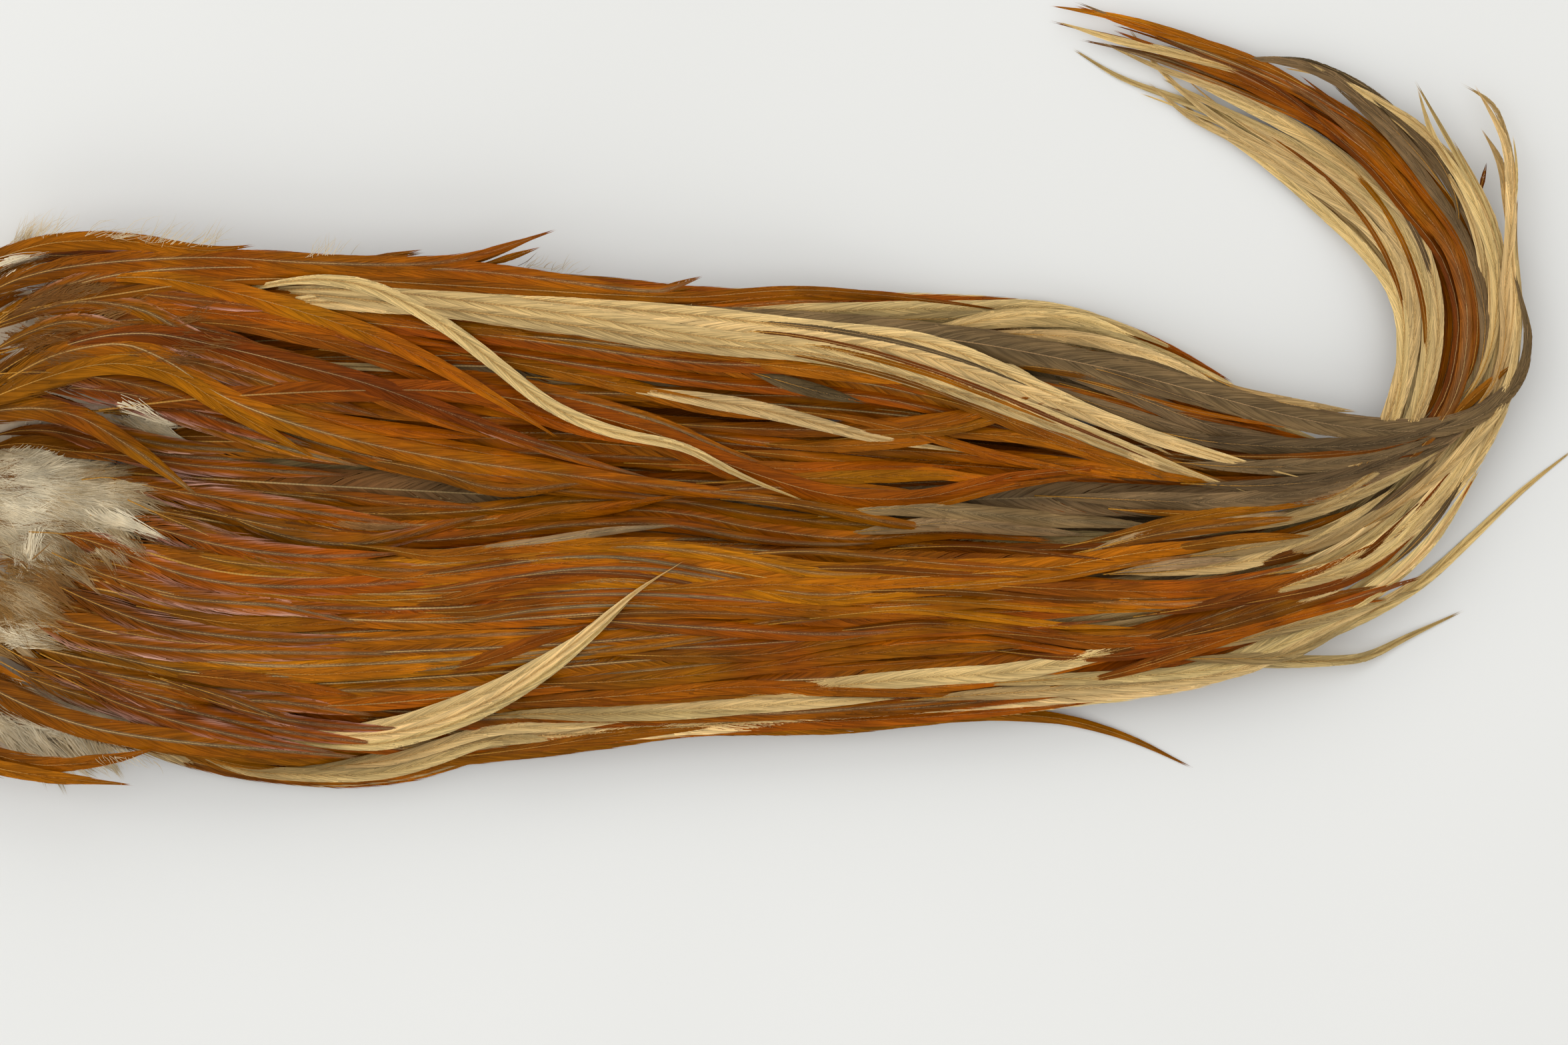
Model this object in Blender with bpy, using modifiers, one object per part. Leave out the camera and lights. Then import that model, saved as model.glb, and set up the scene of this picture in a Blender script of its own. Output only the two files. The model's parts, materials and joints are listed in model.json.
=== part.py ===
# Rooster saddle hackle: a tanned patch of saddle skin with the long hackle feathers that grow from it.
# The patch lies skin side down. The feathers run along +X, gather, and their longest tips sweep back
# over to -X. Origin: middle of the skin's flat underside. +X towards the tips, +Y across, +Z up. Metres.
import bpy
import bmesh
import math
import numpy as np
from mathutils import Vector

MM = 0.001

# Skin patch
SKIN_THICKNESS = 1.6 * MM
SKIN_EDGE_ROUND = 0.35 * MM
SKIN_OUTLINE_MM = [
    (-38, -4), (-37, 10), (-31, 22), (-18, 31), (0, 37), (18, 38), (29, 34), (33, 20),
    (31, 4), (33, -14), (30, -31), (18, -38), (-2, -38), (-19, -31), (-32, -21),
]
SKIN_CURVE_STEPS = 3
SKIN_WELD = 0.01 * MM
SKIN_EDGE_ANGLE = math.radians(60)
SKIN_REACH = 40 * MM

# Feather section, for a feather 2 mm wide: half width 1 mm, and the route's radius scales it
VANE_HALF_WIDTH = 1.0 * MM
VANE_SHOULDER = 0.09 * MM
QUILL_HALF_WIDTH = 0.16 * MM
QUILL_TOP = 0.17 * MM

# Feather outline along its length, as shares of the full half width
ROOT_SHARE = 0.22
TIP_SHARE = 0.06
ROOT_TAPER = 0.14
TIP_TAPER = 0.42
TIP_FULLNESS = 0.8

# Stations along a feather: closer together where the route turns
STATION_LENGTH = 17.0 * MM
STATION_TURN = math.radians(17)
FEWEST_STATIONS = 5
FINE_STEP = 1.0 * MM
CURVE_STEPS = 12

# Lying on one another
AIR_GAP = 0.32 * MM
STEEPEST_RISE = 0.22
EASING_PASSES = 3
ACROSS_SAMPLES = 17
CELL = 0.5 * MM
FIELD_LOW = (-0.060, -0.060)
FIELD_SIZE = (0.350, 0.160)

# Colours, roughness
COLOURS = {
    "skin": (0.60, 0.48, 0.34),
    "down": (0.55, 0.47, 0.35),
    "ginger": (0.27, 0.085, 0.012),
    "rust": (0.20, 0.055, 0.010),
    "golden": (0.36, 0.155, 0.015),
    "cream": (0.48, 0.33, 0.14),
    "dun": (0.13, 0.085, 0.045),
}
ROUGHNESS = {"skin": 0.8, "down": 0.95}
FEATHER_ROUGHNESS = 0.5

# Feathers in the order they lie, lowest first: name, colour, full width and route from root to tip, in mm
TAIL_FEATHERS = [
    ("cream_sweep_inner", "cream", 6.2,
     [(26, 8), (60, 8.5), (110, 5), (160, -1), (200, -4), (225, -1), (238, 6), (244.5, 16), (246.5, 26),
      (245, 36), (239.5, 45), (230, 54), (219, 62), (209, 69)]),
    ("cream_sweep_olive_tip", "cream", 6.4,
     [(26, 2), (60, -1), (110, -4), (160, -7), (200, -8), (226, -4), (240, 4), (247.5, 15), (249.5, 26),
      (248, 37), (242, 47), (232, 57), (220, 65), (208, 70), (199, 73.3), (191.5, 77.8)]),
    ("cream_sweep_crossing", "cream", 6.0,
     [(26, -4), (60, -7), (110, -11), (160, -13), (200, -12), (228, -6), (242, 4), (249.5, 16),
      (251.5, 27), (249, 38), (241, 49), (229, 58), (217, 65), (209, 71), (204, 76), (200.5, 81)]),
    ("rust_sweep", "rust", 6.2,
     [(28, 14), (60, 13), (110, 9), (160, 4), (205, 4), (230, 5), (243, 9), (250, 17), (253.5, 27),
      (253.5, 38), (249, 48), (241, 58), (231, 66), (219, 71.5), (206, 76.5), (193, 79.5)]),
    ("dun_sweep_ginger_edge", "dun", 6.4,
     [(28, 18), (60, 17.5), (110, 16.5), (160, 12), (205, 8.5), (232, 8), (245, 11), (253, 19),
      (256.5, 29), (256.5, 40), (252, 50), (243, 60), (232, 67.5), (220, 72.5), (205, 78),
      (188, 82.5)]),
    ("golden_sweep_far_tip", "golden", 6.0,
     [(28, 22), (70, 21.5), (120, 20.5), (165, 17), (205, 11), (238, 9.5), (249, 14), (255.5, 23),
      (257.5, 34), (255, 45), (248, 56), (238, 65), (226, 72), (214, 77), (202, 81.5), (192, 85.6)]),
    ("dun_sweep_outer", "dun", 6.0,
     [(28, -7), (70, -12), (120, -16), (170, -15), (210, -11), (234, -3), (248, 8), (256, 20),
      (259.5, 32), (258.5, 44), (253.5, 55), (245.5, 65), (237.5, 72), (229, 75.8), (218.5, 76.6)]),
    ("cream_sweep_branch", "cream", 4.4,
     [(28, -10), (70, -16), (120, -19), (170, -17), (210, -13), (236, -4), (250, 8), (257.5, 21),
      (260, 33), (259.5, 46), (254.5, 58), (245, 67), (235, 72.7), (226, 74.8)]),
    ("cream_sweep_mid_tip", "cream", 6.4,
     [(26, -13), (70, -19), (120, -21), (170, -19), (210, -15), (237, -5), (251, 8), (259, 21),
      (261.5, 34), (260, 47), (255.5, 57.5), (251, 65), (247.5, 71.6)]),
    ("cream_sweep_outer_tip", "cream", 6.4,
     [(26, -17), (70, -23), (120, -25), (170, -21.5), (210, -17), (238, -7), (253, 6), (261, 20),
      (263.5, 34), (262.5, 47), (263, 57), (262, 64), (260, 69), (256.3, 71.6)]),
    ("cream_long_straggler", "cream", 3.0,
     [(20, -24), (60, -33), (100, -36), (140, -33), (180, -30), (213, -25.5), (232, -19), (247, -11.5),
      (258, -2), (266, 5.5), (273, 11)]),
]

BODY_FEATHERS = [
    ("cream_lower_edge", "cream", 4.6,
     [(18, -31), (36, -36), (50, -40.3), (65, -42.2), (80, -41), (97, -36), (115, -33.5), (135, -32),
      (155, -29.8)]),
    ("cream_lower_straggler", "cream", 3.0,
     [(22, -27), (60, -34), (100, -34), (140, -31), (175, -27), (200, -23), (222, -23.4), (238, -23),
      (247, -19), (254.3, -15.7)]),
    ("golden_lower_straggler", "golden", 3.0,
     [(18, -33), (48, -38), (80, -39.5), (108, -37), (128, -34.2), (150, -34), (172, -32.2), (188, -33),
      (200, -36.3), (209.3, -40.7)]),
    ("cream_lower_long", "cream", 6.2,
     [(24, -28), (55, -34), (90, -35), (125, -32), (160, -30.7), (185, -28.7), (210, -25.5),
      (224, -20.5), (238, -13), (249, -4), (257, 8)]),
    ("rust_lower_band", "rust", 6.0,
     [(8, -20), (28, -25), (60, -30), (100, -32), (140, -29.8), (170, -28.8), (192, -26), (212, -20.8),
      (230, -15), (247, -9.7)]),
    ("rust_inner_band", "rust", 6.0,
     [(9, -15.5), (28, -19.5), (60, -26), (100, -28), (140, -26.5), (175, -24.8), (200, -20),
      (222, -12.8), (242, -5.5)]),
    ("cream_upper_edge", "cream", 6.2,
     [(22, 35), (55, 39.5), (95, 38.3), (125, 36), (150, 35), (178, 34.6), (196, 31.3), (208, 26.5),
      (218, 20.5), (229, 13.5)]),
    ("cream_upper_fold", "cream", 6.2,
     [(24, 32), (60, 36.5), (100, 35), (140, 33.2), (170, 32.5), (190, 30.5), (203, 26.5), (213, 21.5),
      (224, 15.5), (236, 11)]),
    ("dun_upper_band", "dun", 6.4,
     [(26, 27), (60, 30), (100, 31), (150, 30), (184, 25.5), (205, 18.5), (222, 12.5), (238, 10),
      (250, 12), (258, 19)]),
    ("dun_upper_slant", "dun", 6.4,
     [(26, 25), (70, 25.5), (120, 25), (155, 24), (186, 20.5), (205, 16), (222, 12), (238, 9.5),
      (250, 13)]),
    ("dun_centre_band", "dun", 6.4,
     [(30, 8), (60, 6), (110, 3.5), (150, 2.5), (185, 3.7), (215, 3.2), (235, 6), (250, 12), (258, 20),
      (261, 28)]),
    ("ginger_centre_low", "ginger", 6.0,
     [(30, 3), (60, -2), (90, -5), (125, -4.5), (155, -6), (185, -7), (205, -6), (222, -3.5),
      (238, 2)]),
    ("ginger_upper_run", "ginger", 6.0,
     [(26, 30), (70, 31.5), (105, 29), (135, 25.3), (160, 21.8), (185, 15), (205, 9), (217, 5.8)]),
    ("ginger_lower_run", "ginger", 6.0,
     [(7, -17.5), (26, -22.5), (55, -27), (90, -25.5), (120, -23), (145, -21), (160, -18.3),
      (176, -17.3), (195, -19.3), (214, -18)]),
    ("ginger_lower_mid", "ginger", 6.0,
     [(12, -10), (28, -15), (50, -19.5), (80, -19), (105, -18), (130, -17.5), (160, -15.5), (185, -15),
      (208, -13.5)]),
    ("golden_short_tip", "golden", 4.4,
     [(10, -13), (28, -17.5), (50, -22), (83, -21.5), (112, -20), (132, -18), (150, -15)]),
    ("ginger_middle", "ginger", 5.8,
     [(18, -7.5), (30, -10), (50, -14), (85, -14.5), (120, -12.5), (150, -12.5), (180, -11.3),
      (208, -11.5), (230, -7)]),
    ("ginger_upper_middle", "ginger", 6.0,
     [(30, 13), (60, 13), (95, 13.5), (120, 12), (145, 10), (172, 9), (200, 7)]),
    ("golden_s_curve", "golden", 4.8,
     [(28, -2), (50, -8.5), (75, -9.5), (95, -8.2), (113, -6.8), (130, -8), (148, -10.6), (165, -9.3),
      (185, -8), (204, -5), (228.5, -3)]),
    ("ginger_s_curve", "ginger", 5.0,
     [(32, 6), (50, 3), (72, -0.8), (90, -0.3), (107, 1.6), (124, 1.2), (139, -1.6), (155, -3.2),
      (170, -2), (186, -3.6)]),
    ("dun_sweep_over", "dun", 6.0,
     [(22, 33), (60, 34.5), (100, 33.5), (140, 32.2), (173, 29.3), (200, 24), (215, 20), (232, 15.8),
      (246, 14.6), (256, 16.5), (263, 22), (265.4, 30), (263.3, 40)]),
    ("cream_upper_long", "cream", 5.0,
     [(24, 29), (55, 35), (95, 36.2), (120, 33), (145, 31.3), (165, 28.3), (182, 22), (200, 15),
      (215, 9.8), (229, 6.3)]),
    ("cream_upper_band", "cream", 5.0,
     [(20, 31), (50, 37), (75, 36.4), (100, 33.7), (125, 29.6), (150, 27.6), (170, 22.3), (190, 15),
      (205, 9.3), (218, 4.8)]),
    ("ginger_crossing", "ginger", 4.8,
     [(30, 18), (55, 20.5), (90, 21), (118, 15.3), (133, 9.3), (150, 4.2), (165, 3.7), (180, 7),
      (198, 8.9)]),
    ("ginger_arched", "ginger", 4.6,
     [(10, 20), (22, 26.5), (33, 28.8), (41, 26.3), (51, 20), (64, 15.2), (82, 10.9), (105, 7.6),
      (125, 5.2), (148, 2.8)]),
    ("cream_centre_tip", "cream", 4.2,
     [(28, 24), (60, 25.5), (100, 23.7), (128, 20), (143, 17.3), (157, 13.6), (172, 11.3)]),
    ("cream_fan_tip", "cream", 6.4,
     [(18, -26), (42, -33.5), (62, -36), (78, -35.4), (92, -30.8), (103, -24.6), (112, -17.8),
      (119, -11.6), (125.3, -7.3)]),
]

SHOULDER_FEATHERS = [
    ("shoulder_low_outer", "rust", 7.5, [(-30, -19), (-17, -25.5), (-2, -30), (16, -33.5)]),
    ("shoulder_high_outer", "rust", 7.5, [(-30, 19), (-17, 26.5), (-2, 32), (16, 37.5)]),
    ("shoulder_low_inner", "ginger", 8.0, [(-32, -12), (-18, -16), (-3, -20), (18, -27)]),
    ("shoulder_high_inner", "ginger", 8.0, [(-32, 12), (-18, 17), (-3, 22), (14, 28)]),
    ("shoulder_low_middle", "ginger", 8.0, [(-34, -6), (-20, -8.5), (-6, -12.5), (10, -17)]),
    ("shoulder_high_middle", "ginger", 8.0, [(-34, 6), (-20, 9), (-6, 12), (8, 17)]),
    ("shoulder_centre", "rust", 8.5, [(-35, 0), (-22, 0.5), (-10, 1.5), (3, 2)]),
]

TOP_FEATHERS = [
    ("golden_top_arch", "golden", 3.4,
     [(14, 34), (55, 39.5), (100, 37.8), (125, 36.6), (145, 37.9), (162, 36.8), (177, 35)]),
    ("ginger_top_edge", "ginger", 4.4,
     [(10, 32), (32, 40), (60, 41.5), (90, 41), (112, 38.4), (122, 37.6), (128.5, 39.8)]),
    ("ginger_top_stray", "ginger", 4.4,
     [(4, 33), (20, 40.5), (45, 43), (70, 42), (88, 42.5), (104, 47.3)]),
    ("golden_upper_slant", "golden", 4.6,
     [(2, 22), (13, 33), (24, 38.6), (40, 39.6), (57, 36), (75, 30.3), (90, 23), (104.5, 14)]),
    ("cream_diagonal", "cream", 4.6,
     [(12, 27), (40, 35), (57, 38.4), (67, 39.4), (77, 37.3), (90, 29.8), (103, 19.5), (114, 14.6),
      (126, 12), (136, 7), (144.7, 3.6)]),
    ("rust_slant", "rust", 4.4,
     [(6, 18), (22, 27.5), (38, 30.5), (57.5, 26.6), (75, 22.1), (95, 14.8), (110, 10.3)]),
    ("golden_corner", "golden", 4.2,
     [(-6, 28), (6, 39), (20, 45), (35, 45.7), (47, 44.2), (54.5, 44.9)]),
    ("rust_short_crossing", "rust", 5.0,
     [(-6, 12), (6, 16.5), (18, 18.3), (27, 16.8), (37, 10.7), (45.5, 4.3)]),
    ("golden_short_crossing", "golden", 4.6,
     [(4, 16), (18, 22), (31, 25.5), (42, 24), (52, 18), (64.7, 10.6)]),
    ("rust_lower_corner", "rust", 5.4,
     [(0, -20), (14, -28.6), (28, -34), (45, -36.7), (60, -38), (72, -39)]),
    ("ginger_corner_stray", "ginger", 4.2,
     [(-8, -25), (4, -35), (18, -40), (30, -39.7), (38.5, -37.8)]),
    ("golden_corner_stray", "golden", 3.6,
     [(-14, -24), (-2, -35.5), (12, -40.5), (24, -42.5), (34.7, -43.5)]),
]

FEATHERS = TAIL_FEATHERS + BODY_FEATHERS + SHOULDER_FEATHERS + TOP_FEATHERS

# Down tufts on the skin: centre in mm, half lengths along and across, height, and how the pointed end turns
DOWN_TUFTS = [
    ("down_tuft_centre", (17.0, 3.0), (11.5, 10.5), 5.2, 0.0),
    ("down_tuft_lower", (15.0, -32.0), (14.0, 4.6), 3.6, -0.16),
]
TUFT_LUMPS = 0.13
TUFT_WAVES = (5, 2, 4, 3)
TUFT_TRAIL = 0.18
TUFT_FINENESS = 2
TUFT_SAMPLES = 14


def new_collection(name):
    collection = bpy.data.collections.new(name)
    bpy.context.scene.collection.children.link(collection)
    return collection


def material(name):
    """A plain Principled material for one colour of the object."""
    found = bpy.data.materials.get(name)
    if found:
        return found
    made = bpy.data.materials.new(name)
    made.use_nodes = True
    shader = made.node_tree.nodes["Principled BSDF"]
    shader.inputs["Base Color"].default_value = (*COLOURS[name], 1)
    shader.inputs["Roughness"].default_value = ROUGHNESS.get(name, FEATHER_ROUGHNESS)
    shader.inputs["Metallic"].default_value = 0
    return made


def smooth_through(points, closed=False, steps=CURVE_STEPS):
    """Catmull-Rom curve through the points."""
    p = np.array(points, float)
    if closed:
        p = np.vstack([p[-1], p, p[0], p[1]])
    else:
        p = np.vstack([2 * p[0] - p[1], p, 2 * p[-1] - p[-2]])
    t = np.linspace(0, 1, steps, endpoint=False)[:, None]
    made = []
    for a, b, c, d in zip(p[:-3], p[1:-2], p[2:-1], p[3:]):
        made.append(0.5 * (2 * b + (c - a) * t + (2 * a - 5 * b + 4 * c - d) * t**2
                           + (3 * b - a - 3 * c + d) * t**3))
    if not closed:
        made.append(p[-2:-1])
    return np.vstack(made)


def resampled(line):
    """The line at equal fine steps."""
    along = np.concatenate([[0], np.cumsum(np.linalg.norm(np.diff(line, axis=0), axis=1))])
    count = round(along[-1] / FINE_STEP)
    at = np.linspace(0, along[-1], count + 1)
    return np.column_stack([np.interp(at, along, line[:, k]) for k in range(line.shape[1])])


def half_width_share(u):
    """A hackle's outline: a thin root, long parallel sides and a drawn-out tip."""
    root = np.clip(u / ROOT_TAPER, 0, 1)
    tip = np.clip((1 - u) / TIP_TAPER, 0, 1)
    widening = ROOT_SHARE + (1 - ROOT_SHARE) * np.sin(root * math.pi / 2)
    narrowing = TIP_SHARE + (1 - TIP_SHARE) * np.sin(tip * math.pi / 2) ** TIP_FULLNESS
    return widening * narrowing


class HeightField:
    """How high the pile already is, on a grid over the table."""

    def __init__(self):
        self.top = np.zeros([round(size / CELL) for size in FIELD_SIZE])

    def cells(self, x, y):
        i = np.floor((x - FIELD_LOW[0]) / CELL).astype(int)
        j = np.floor((y - FIELD_LOW[1]) / CELL).astype(int)
        return i, j

    def highest(self, x, y):
        i, j = self.cells(x, y)
        around = [self.top[i + a, j + b] for a in (-1, 0, 1) for b in (-1, 0, 1)]
        return np.max(around, axis=0)

    def raise_to(self, x, y, z):
        i, j = self.cells(x, y)
        for a in (-1, 0, 1):
            for b in (-1, 0, 1):
                np.maximum.at(self.top, (i + a, j + b), z)


def footprint(line, half_width):
    """Points over a feather's plan, a row for each point of the line, and their distance from the quill."""
    tangent = np.gradient(line, axis=0)
    tangent /= np.linalg.norm(tangent, axis=1)[:, None]
    side = np.column_stack([-tangent[:, 1], tangent[:, 0]])
    across = np.linspace(-1, 1, ACROSS_SAMPLES)
    reach = across[None, :] * half_width[:, None]
    x = line[:, :1] + reach * side[:, :1]
    y = line[:, 1:] + reach * side[:, 1:]
    return x, y, across


def section_height(across):
    """Top of the feather's section at a share of its half width, for a half width of 1."""
    quill = QUILL_HALF_WIDTH / VANE_HALF_WIDTH
    shoulder = VANE_SHOULDER / VANE_HALF_WIDTH
    crown = QUILL_TOP / VANE_HALF_WIDTH
    return np.interp(np.abs(across), [0, quill, 1], [crown, shoulder, 0])


def stations(line):
    """Indices of the fine line's points that the solid keeps."""
    step = np.diff(line, axis=0)
    heading = np.unwrap(np.arctan2(step[:, 1], step[:, 0]))
    turn = np.abs(np.diff(heading, append=heading[-1]))
    cost = np.cumsum(np.linalg.norm(step, axis=1) / STATION_LENGTH + turn / STATION_TURN)
    count = max(FEWEST_STATIONS, math.ceil(cost[-1]))
    marks = np.searchsorted(cost, np.linspace(0, cost[-1], count + 1)[1:-1])
    return np.unique(np.concatenate([[0], marks + 1, [len(line) - 1]]))


def resting_heights(field, line, half_width, kept):
    """Height of the flat underside at each kept station, clear of the pile and never rising steeply."""
    x, y, _ = footprint(line, half_width)
    under = field.highest(x, y).max(axis=1)
    under = np.where(under > 0, under + AIR_GAP, 0)
    need = np.zeros(len(kept))
    for n in range(len(kept) - 1):
        most = under[kept[n]:kept[n + 1] + 1].max()
        need[n] = max(need[n], most)
        need[n + 1] = max(need[n + 1], most)
    along = kept * FINE_STEP
    reach = np.abs(along[:, None] - along[None, :])
    height = (need[None, :] - STEEPEST_RISE * reach).max(axis=1)
    for _ in range(EASING_PASSES):
        eased = height.copy()
        eased[1:-1] = (height[:-2] + 2 * height[1:-1] + height[2:]) / 4
        height = np.maximum(eased, need)
    return height


def vane_profile():
    """The closed section that every feather's route sweeps: flat below, with a quill ridge above."""
    curve = bpy.data.curves.new("vane_section", "CURVE")
    curve.dimensions = "2D"
    corners = [
        (-QUILL_HALF_WIDTH, VANE_SHOULDER), (0, QUILL_TOP), (QUILL_HALF_WIDTH, VANE_SHOULDER),
        (VANE_HALF_WIDTH, 0), (-VANE_HALF_WIDTH, 0),
    ]
    spline = curve.splines.new("POLY")
    spline.points.add(len(corners) - 1)
    for point, (x, y) in zip(spline.points, corners):
        point.co = (x, y, 0, 1)
    spline.use_cyclic_u = True
    profile = bpy.data.objects.new("vane_section", curve)
    profile.hide_render = True
    profile.display_type = "WIRE"
    return profile


def feather(field, profile, collection, name, colour, width_mm, route_mm):
    """One feather: the vane section swept along its route, resting on what already lies there."""
    line = resampled(smooth_through(np.array(route_mm) * MM))
    half_width = half_width_share(np.linspace(0, 1, len(line))) * width_mm / 2 * MM
    kept = stations(line)
    height = resting_heights(field, line, half_width, kept)

    curve = bpy.data.curves.new(name, "CURVE")
    curve.dimensions = "3D"
    curve.twist_mode = "Z_UP"
    curve.bevel_mode = "OBJECT"
    curve.bevel_object = profile
    curve.use_fill_caps = True
    spline = curve.splines.new("POLY")
    spline.points.add(len(kept) - 1)
    for point, index, z in zip(spline.points, kept, height):
        point.co = (*line[index], z, 1)
        point.radius = half_width[index] / VANE_HALF_WIDTH
    curve.materials.append(material(colour))
    made = bpy.data.objects.new(name, curve)
    collection.objects.link(made)

    straight = np.column_stack([np.interp(np.arange(len(line)), kept, line[kept, k]) for k in (0, 1)])
    wide = np.interp(np.arange(len(line)), kept, half_width[kept])
    x, y, across = footprint(straight, wide)
    low = np.interp(np.arange(len(line)), kept, height)
    field.raise_to(x, y, low[:, None] + section_height(across)[None, :] * wide[:, None])
    return made


def skin(field, collection):
    """The tanned patch: a flat outline with thickness, its underside at z = 0."""
    outline = smooth_through(np.array(SKIN_OUTLINE_MM) * MM, closed=True, steps=SKIN_CURVE_STEPS)
    curve = bpy.data.curves.new("skin", "CURVE")
    curve.dimensions = "2D"
    curve.fill_mode = "BOTH"
    curve.extrude = SKIN_THICKNESS / 2
    spline = curve.splines.new("POLY")
    spline.points.add(len(outline) - 1)
    for point, (x, y) in zip(spline.points, outline):
        point.co = (x, y, 0, 1)
    spline.use_cyclic_u = True
    curve.materials.append(material("skin"))
    made = bpy.data.objects.new("skin", curve)
    made.location.z = SKIN_THICKNESS / 2
    collection.objects.link(made)
    weld = made.modifiers.new("close the edges", "WELD")
    weld.merge_threshold = SKIN_WELD
    soften = made.modifiers.new("soft edge", "BEVEL")
    soften.width = SKIN_EDGE_ROUND
    soften.segments = 1
    soften.limit_method = "ANGLE"
    soften.angle_limit = SKIN_EDGE_ANGLE

    grid = np.arange(-SKIN_REACH, SKIN_REACH, CELL / 2)
    x, y = (a.ravel() for a in np.meshgrid(grid, grid))
    inside = np.zeros(len(x), bool)
    for (ax, ay), (bx, by) in zip(outline, np.roll(outline, -1, axis=0)):
        crosses = (ay > y) != (by > y)
        with np.errstate(divide="ignore", invalid="ignore"):
            inside ^= crosses & (x < (bx - ax) * (y - ay) / (by - ay) + ax)
    field.raise_to(x[inside], y[inside], np.full(inside.sum(), SKIN_THICKNESS))
    return made


def down_tuft(field, collection, name, centre_mm, half_mm, height_mm, turn):
    """A low lumpy tuft of down on the skin: a rough ball, cut flat where it sits."""
    base = SKIN_THICKNESS + AIR_GAP
    mesh = bpy.data.meshes.new(name)
    ball = bmesh.new()
    bmesh.ops.create_icosphere(ball, subdivisions=TUFT_FINENESS, radius=1)
    along, slant, over, down = TUFT_WAVES
    for vertex in ball.verts:
        x, y, z = vertex.co
        lump = 1 + TUFT_LUMPS * math.sin(along * x + slant * y) * math.cos(over * y - down * z + turn)
        trail = 1 + TUFT_TRAIL * max(x, 0) ** 3
        vertex.co = Vector((x * half_mm[0] * lump * trail, y * half_mm[1] * lump, z * height_mm * lump)) * MM
    bmesh.ops.bisect_plane(ball, geom=ball.verts[:] + ball.edges[:] + ball.faces[:], plane_co=(0, 0, 0),
                           plane_no=(0, 0, -1), clear_outer=True)
    rim = [edge for edge in ball.edges if edge.is_boundary]
    bmesh.ops.holes_fill(ball, edges=rim, sides=0)
    bmesh.ops.recalc_face_normals(ball, faces=ball.faces)
    ball.to_mesh(mesh)
    ball.free()
    mesh.materials.append(material("down"))
    made = bpy.data.objects.new(name, mesh)
    made.location = (centre_mm[0] * MM, centre_mm[1] * MM, base)
    made.rotation_euler.z = turn
    collection.objects.link(made)

    cosine, sine = math.cos(turn), math.sin(turn)
    share = np.linspace(0, 1, TUFT_SAMPLES)
    a, b = (w.ravel() for w in np.meshgrid(share, share))
    keep = a + b <= 1
    for polygon in mesh.polygons:
        corners = np.array([mesh.vertices[i].co for i in polygon.vertices])
        if polygon.normal.z <= 0:
            continue
        first = corners[0]
        for second, third in zip(corners[1:], corners[2:]):
            spot = first + a[keep, None] * (second - first) + b[keep, None] * (third - first)
            x = centre_mm[0] * MM + cosine * spot[:, 0] - sine * spot[:, 1]
            y = centre_mm[1] * MM + sine * spot[:, 0] + cosine * spot[:, 1]
            field.raise_to(x, y, base + spot[:, 2])
    return made


def main():
    for old in list(bpy.data.objects):
        bpy.data.objects.remove(old)
    parts = new_collection("rooster_saddle_hackle")
    helpers = new_collection("sections")
    field = HeightField()
    profile = vane_profile()
    helpers.objects.link(profile)
    skin(field, parts)
    for tuft in DOWN_TUFTS:
        down_tuft(field, parts, *tuft)
    for row in FEATHERS:
        feather(field, profile, parts, *row)
    print(len(parts.objects), "pieces, pile", round(field.top.max() / MM, 1), "mm high")


main()
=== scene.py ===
# %% [markdown]
# # A rooster saddle hackle, feather by feather
#
# A saddle patch is a piece of tanned skin from a rooster's back with the long hackle feathers still in it.
# This lesson dresses its plain solids as the real thing: every feather gets a quill and hundreds of
# separate barbs, the gaps between the solids are filled with more feathers, and the root end gets its down.
# The solids say where each feather lies, so nothing has to be fitted afterwards: load them first and
# measure everything from them.

# %% Load the frame
import json
import math
import bpy
import numpy as np
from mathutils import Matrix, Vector
from mathutils.bvhtree import BVHTree


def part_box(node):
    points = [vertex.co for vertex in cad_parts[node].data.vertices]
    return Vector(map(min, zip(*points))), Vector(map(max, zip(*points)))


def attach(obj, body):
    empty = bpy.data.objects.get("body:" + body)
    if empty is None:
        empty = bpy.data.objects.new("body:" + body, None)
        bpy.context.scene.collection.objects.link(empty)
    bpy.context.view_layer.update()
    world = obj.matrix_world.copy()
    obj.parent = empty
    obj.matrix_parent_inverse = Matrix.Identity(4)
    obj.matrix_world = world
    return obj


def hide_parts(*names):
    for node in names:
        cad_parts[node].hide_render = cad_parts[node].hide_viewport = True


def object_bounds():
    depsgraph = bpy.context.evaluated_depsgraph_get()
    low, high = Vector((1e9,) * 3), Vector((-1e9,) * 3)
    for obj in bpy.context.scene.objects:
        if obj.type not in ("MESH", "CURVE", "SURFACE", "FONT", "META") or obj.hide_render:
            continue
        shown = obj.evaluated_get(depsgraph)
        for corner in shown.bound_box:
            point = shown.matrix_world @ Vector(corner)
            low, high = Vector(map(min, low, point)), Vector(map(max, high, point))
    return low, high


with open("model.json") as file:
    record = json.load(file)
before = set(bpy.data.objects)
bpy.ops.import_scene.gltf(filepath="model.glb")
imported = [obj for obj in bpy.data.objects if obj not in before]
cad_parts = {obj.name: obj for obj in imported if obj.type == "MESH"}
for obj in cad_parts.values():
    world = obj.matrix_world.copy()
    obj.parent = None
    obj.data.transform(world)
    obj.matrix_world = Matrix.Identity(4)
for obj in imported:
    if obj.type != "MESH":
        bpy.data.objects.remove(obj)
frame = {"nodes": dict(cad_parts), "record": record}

MM = 0.001
CAD_LOW, CAD_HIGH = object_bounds()
SLOT_OF = {row["node"]: row["material_slot"] for row in frame["record"]["subparts"]}
FEATHER_NODES = [name for name in SLOT_OF if SLOT_OF[name] not in ("skin", "down")]
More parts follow.
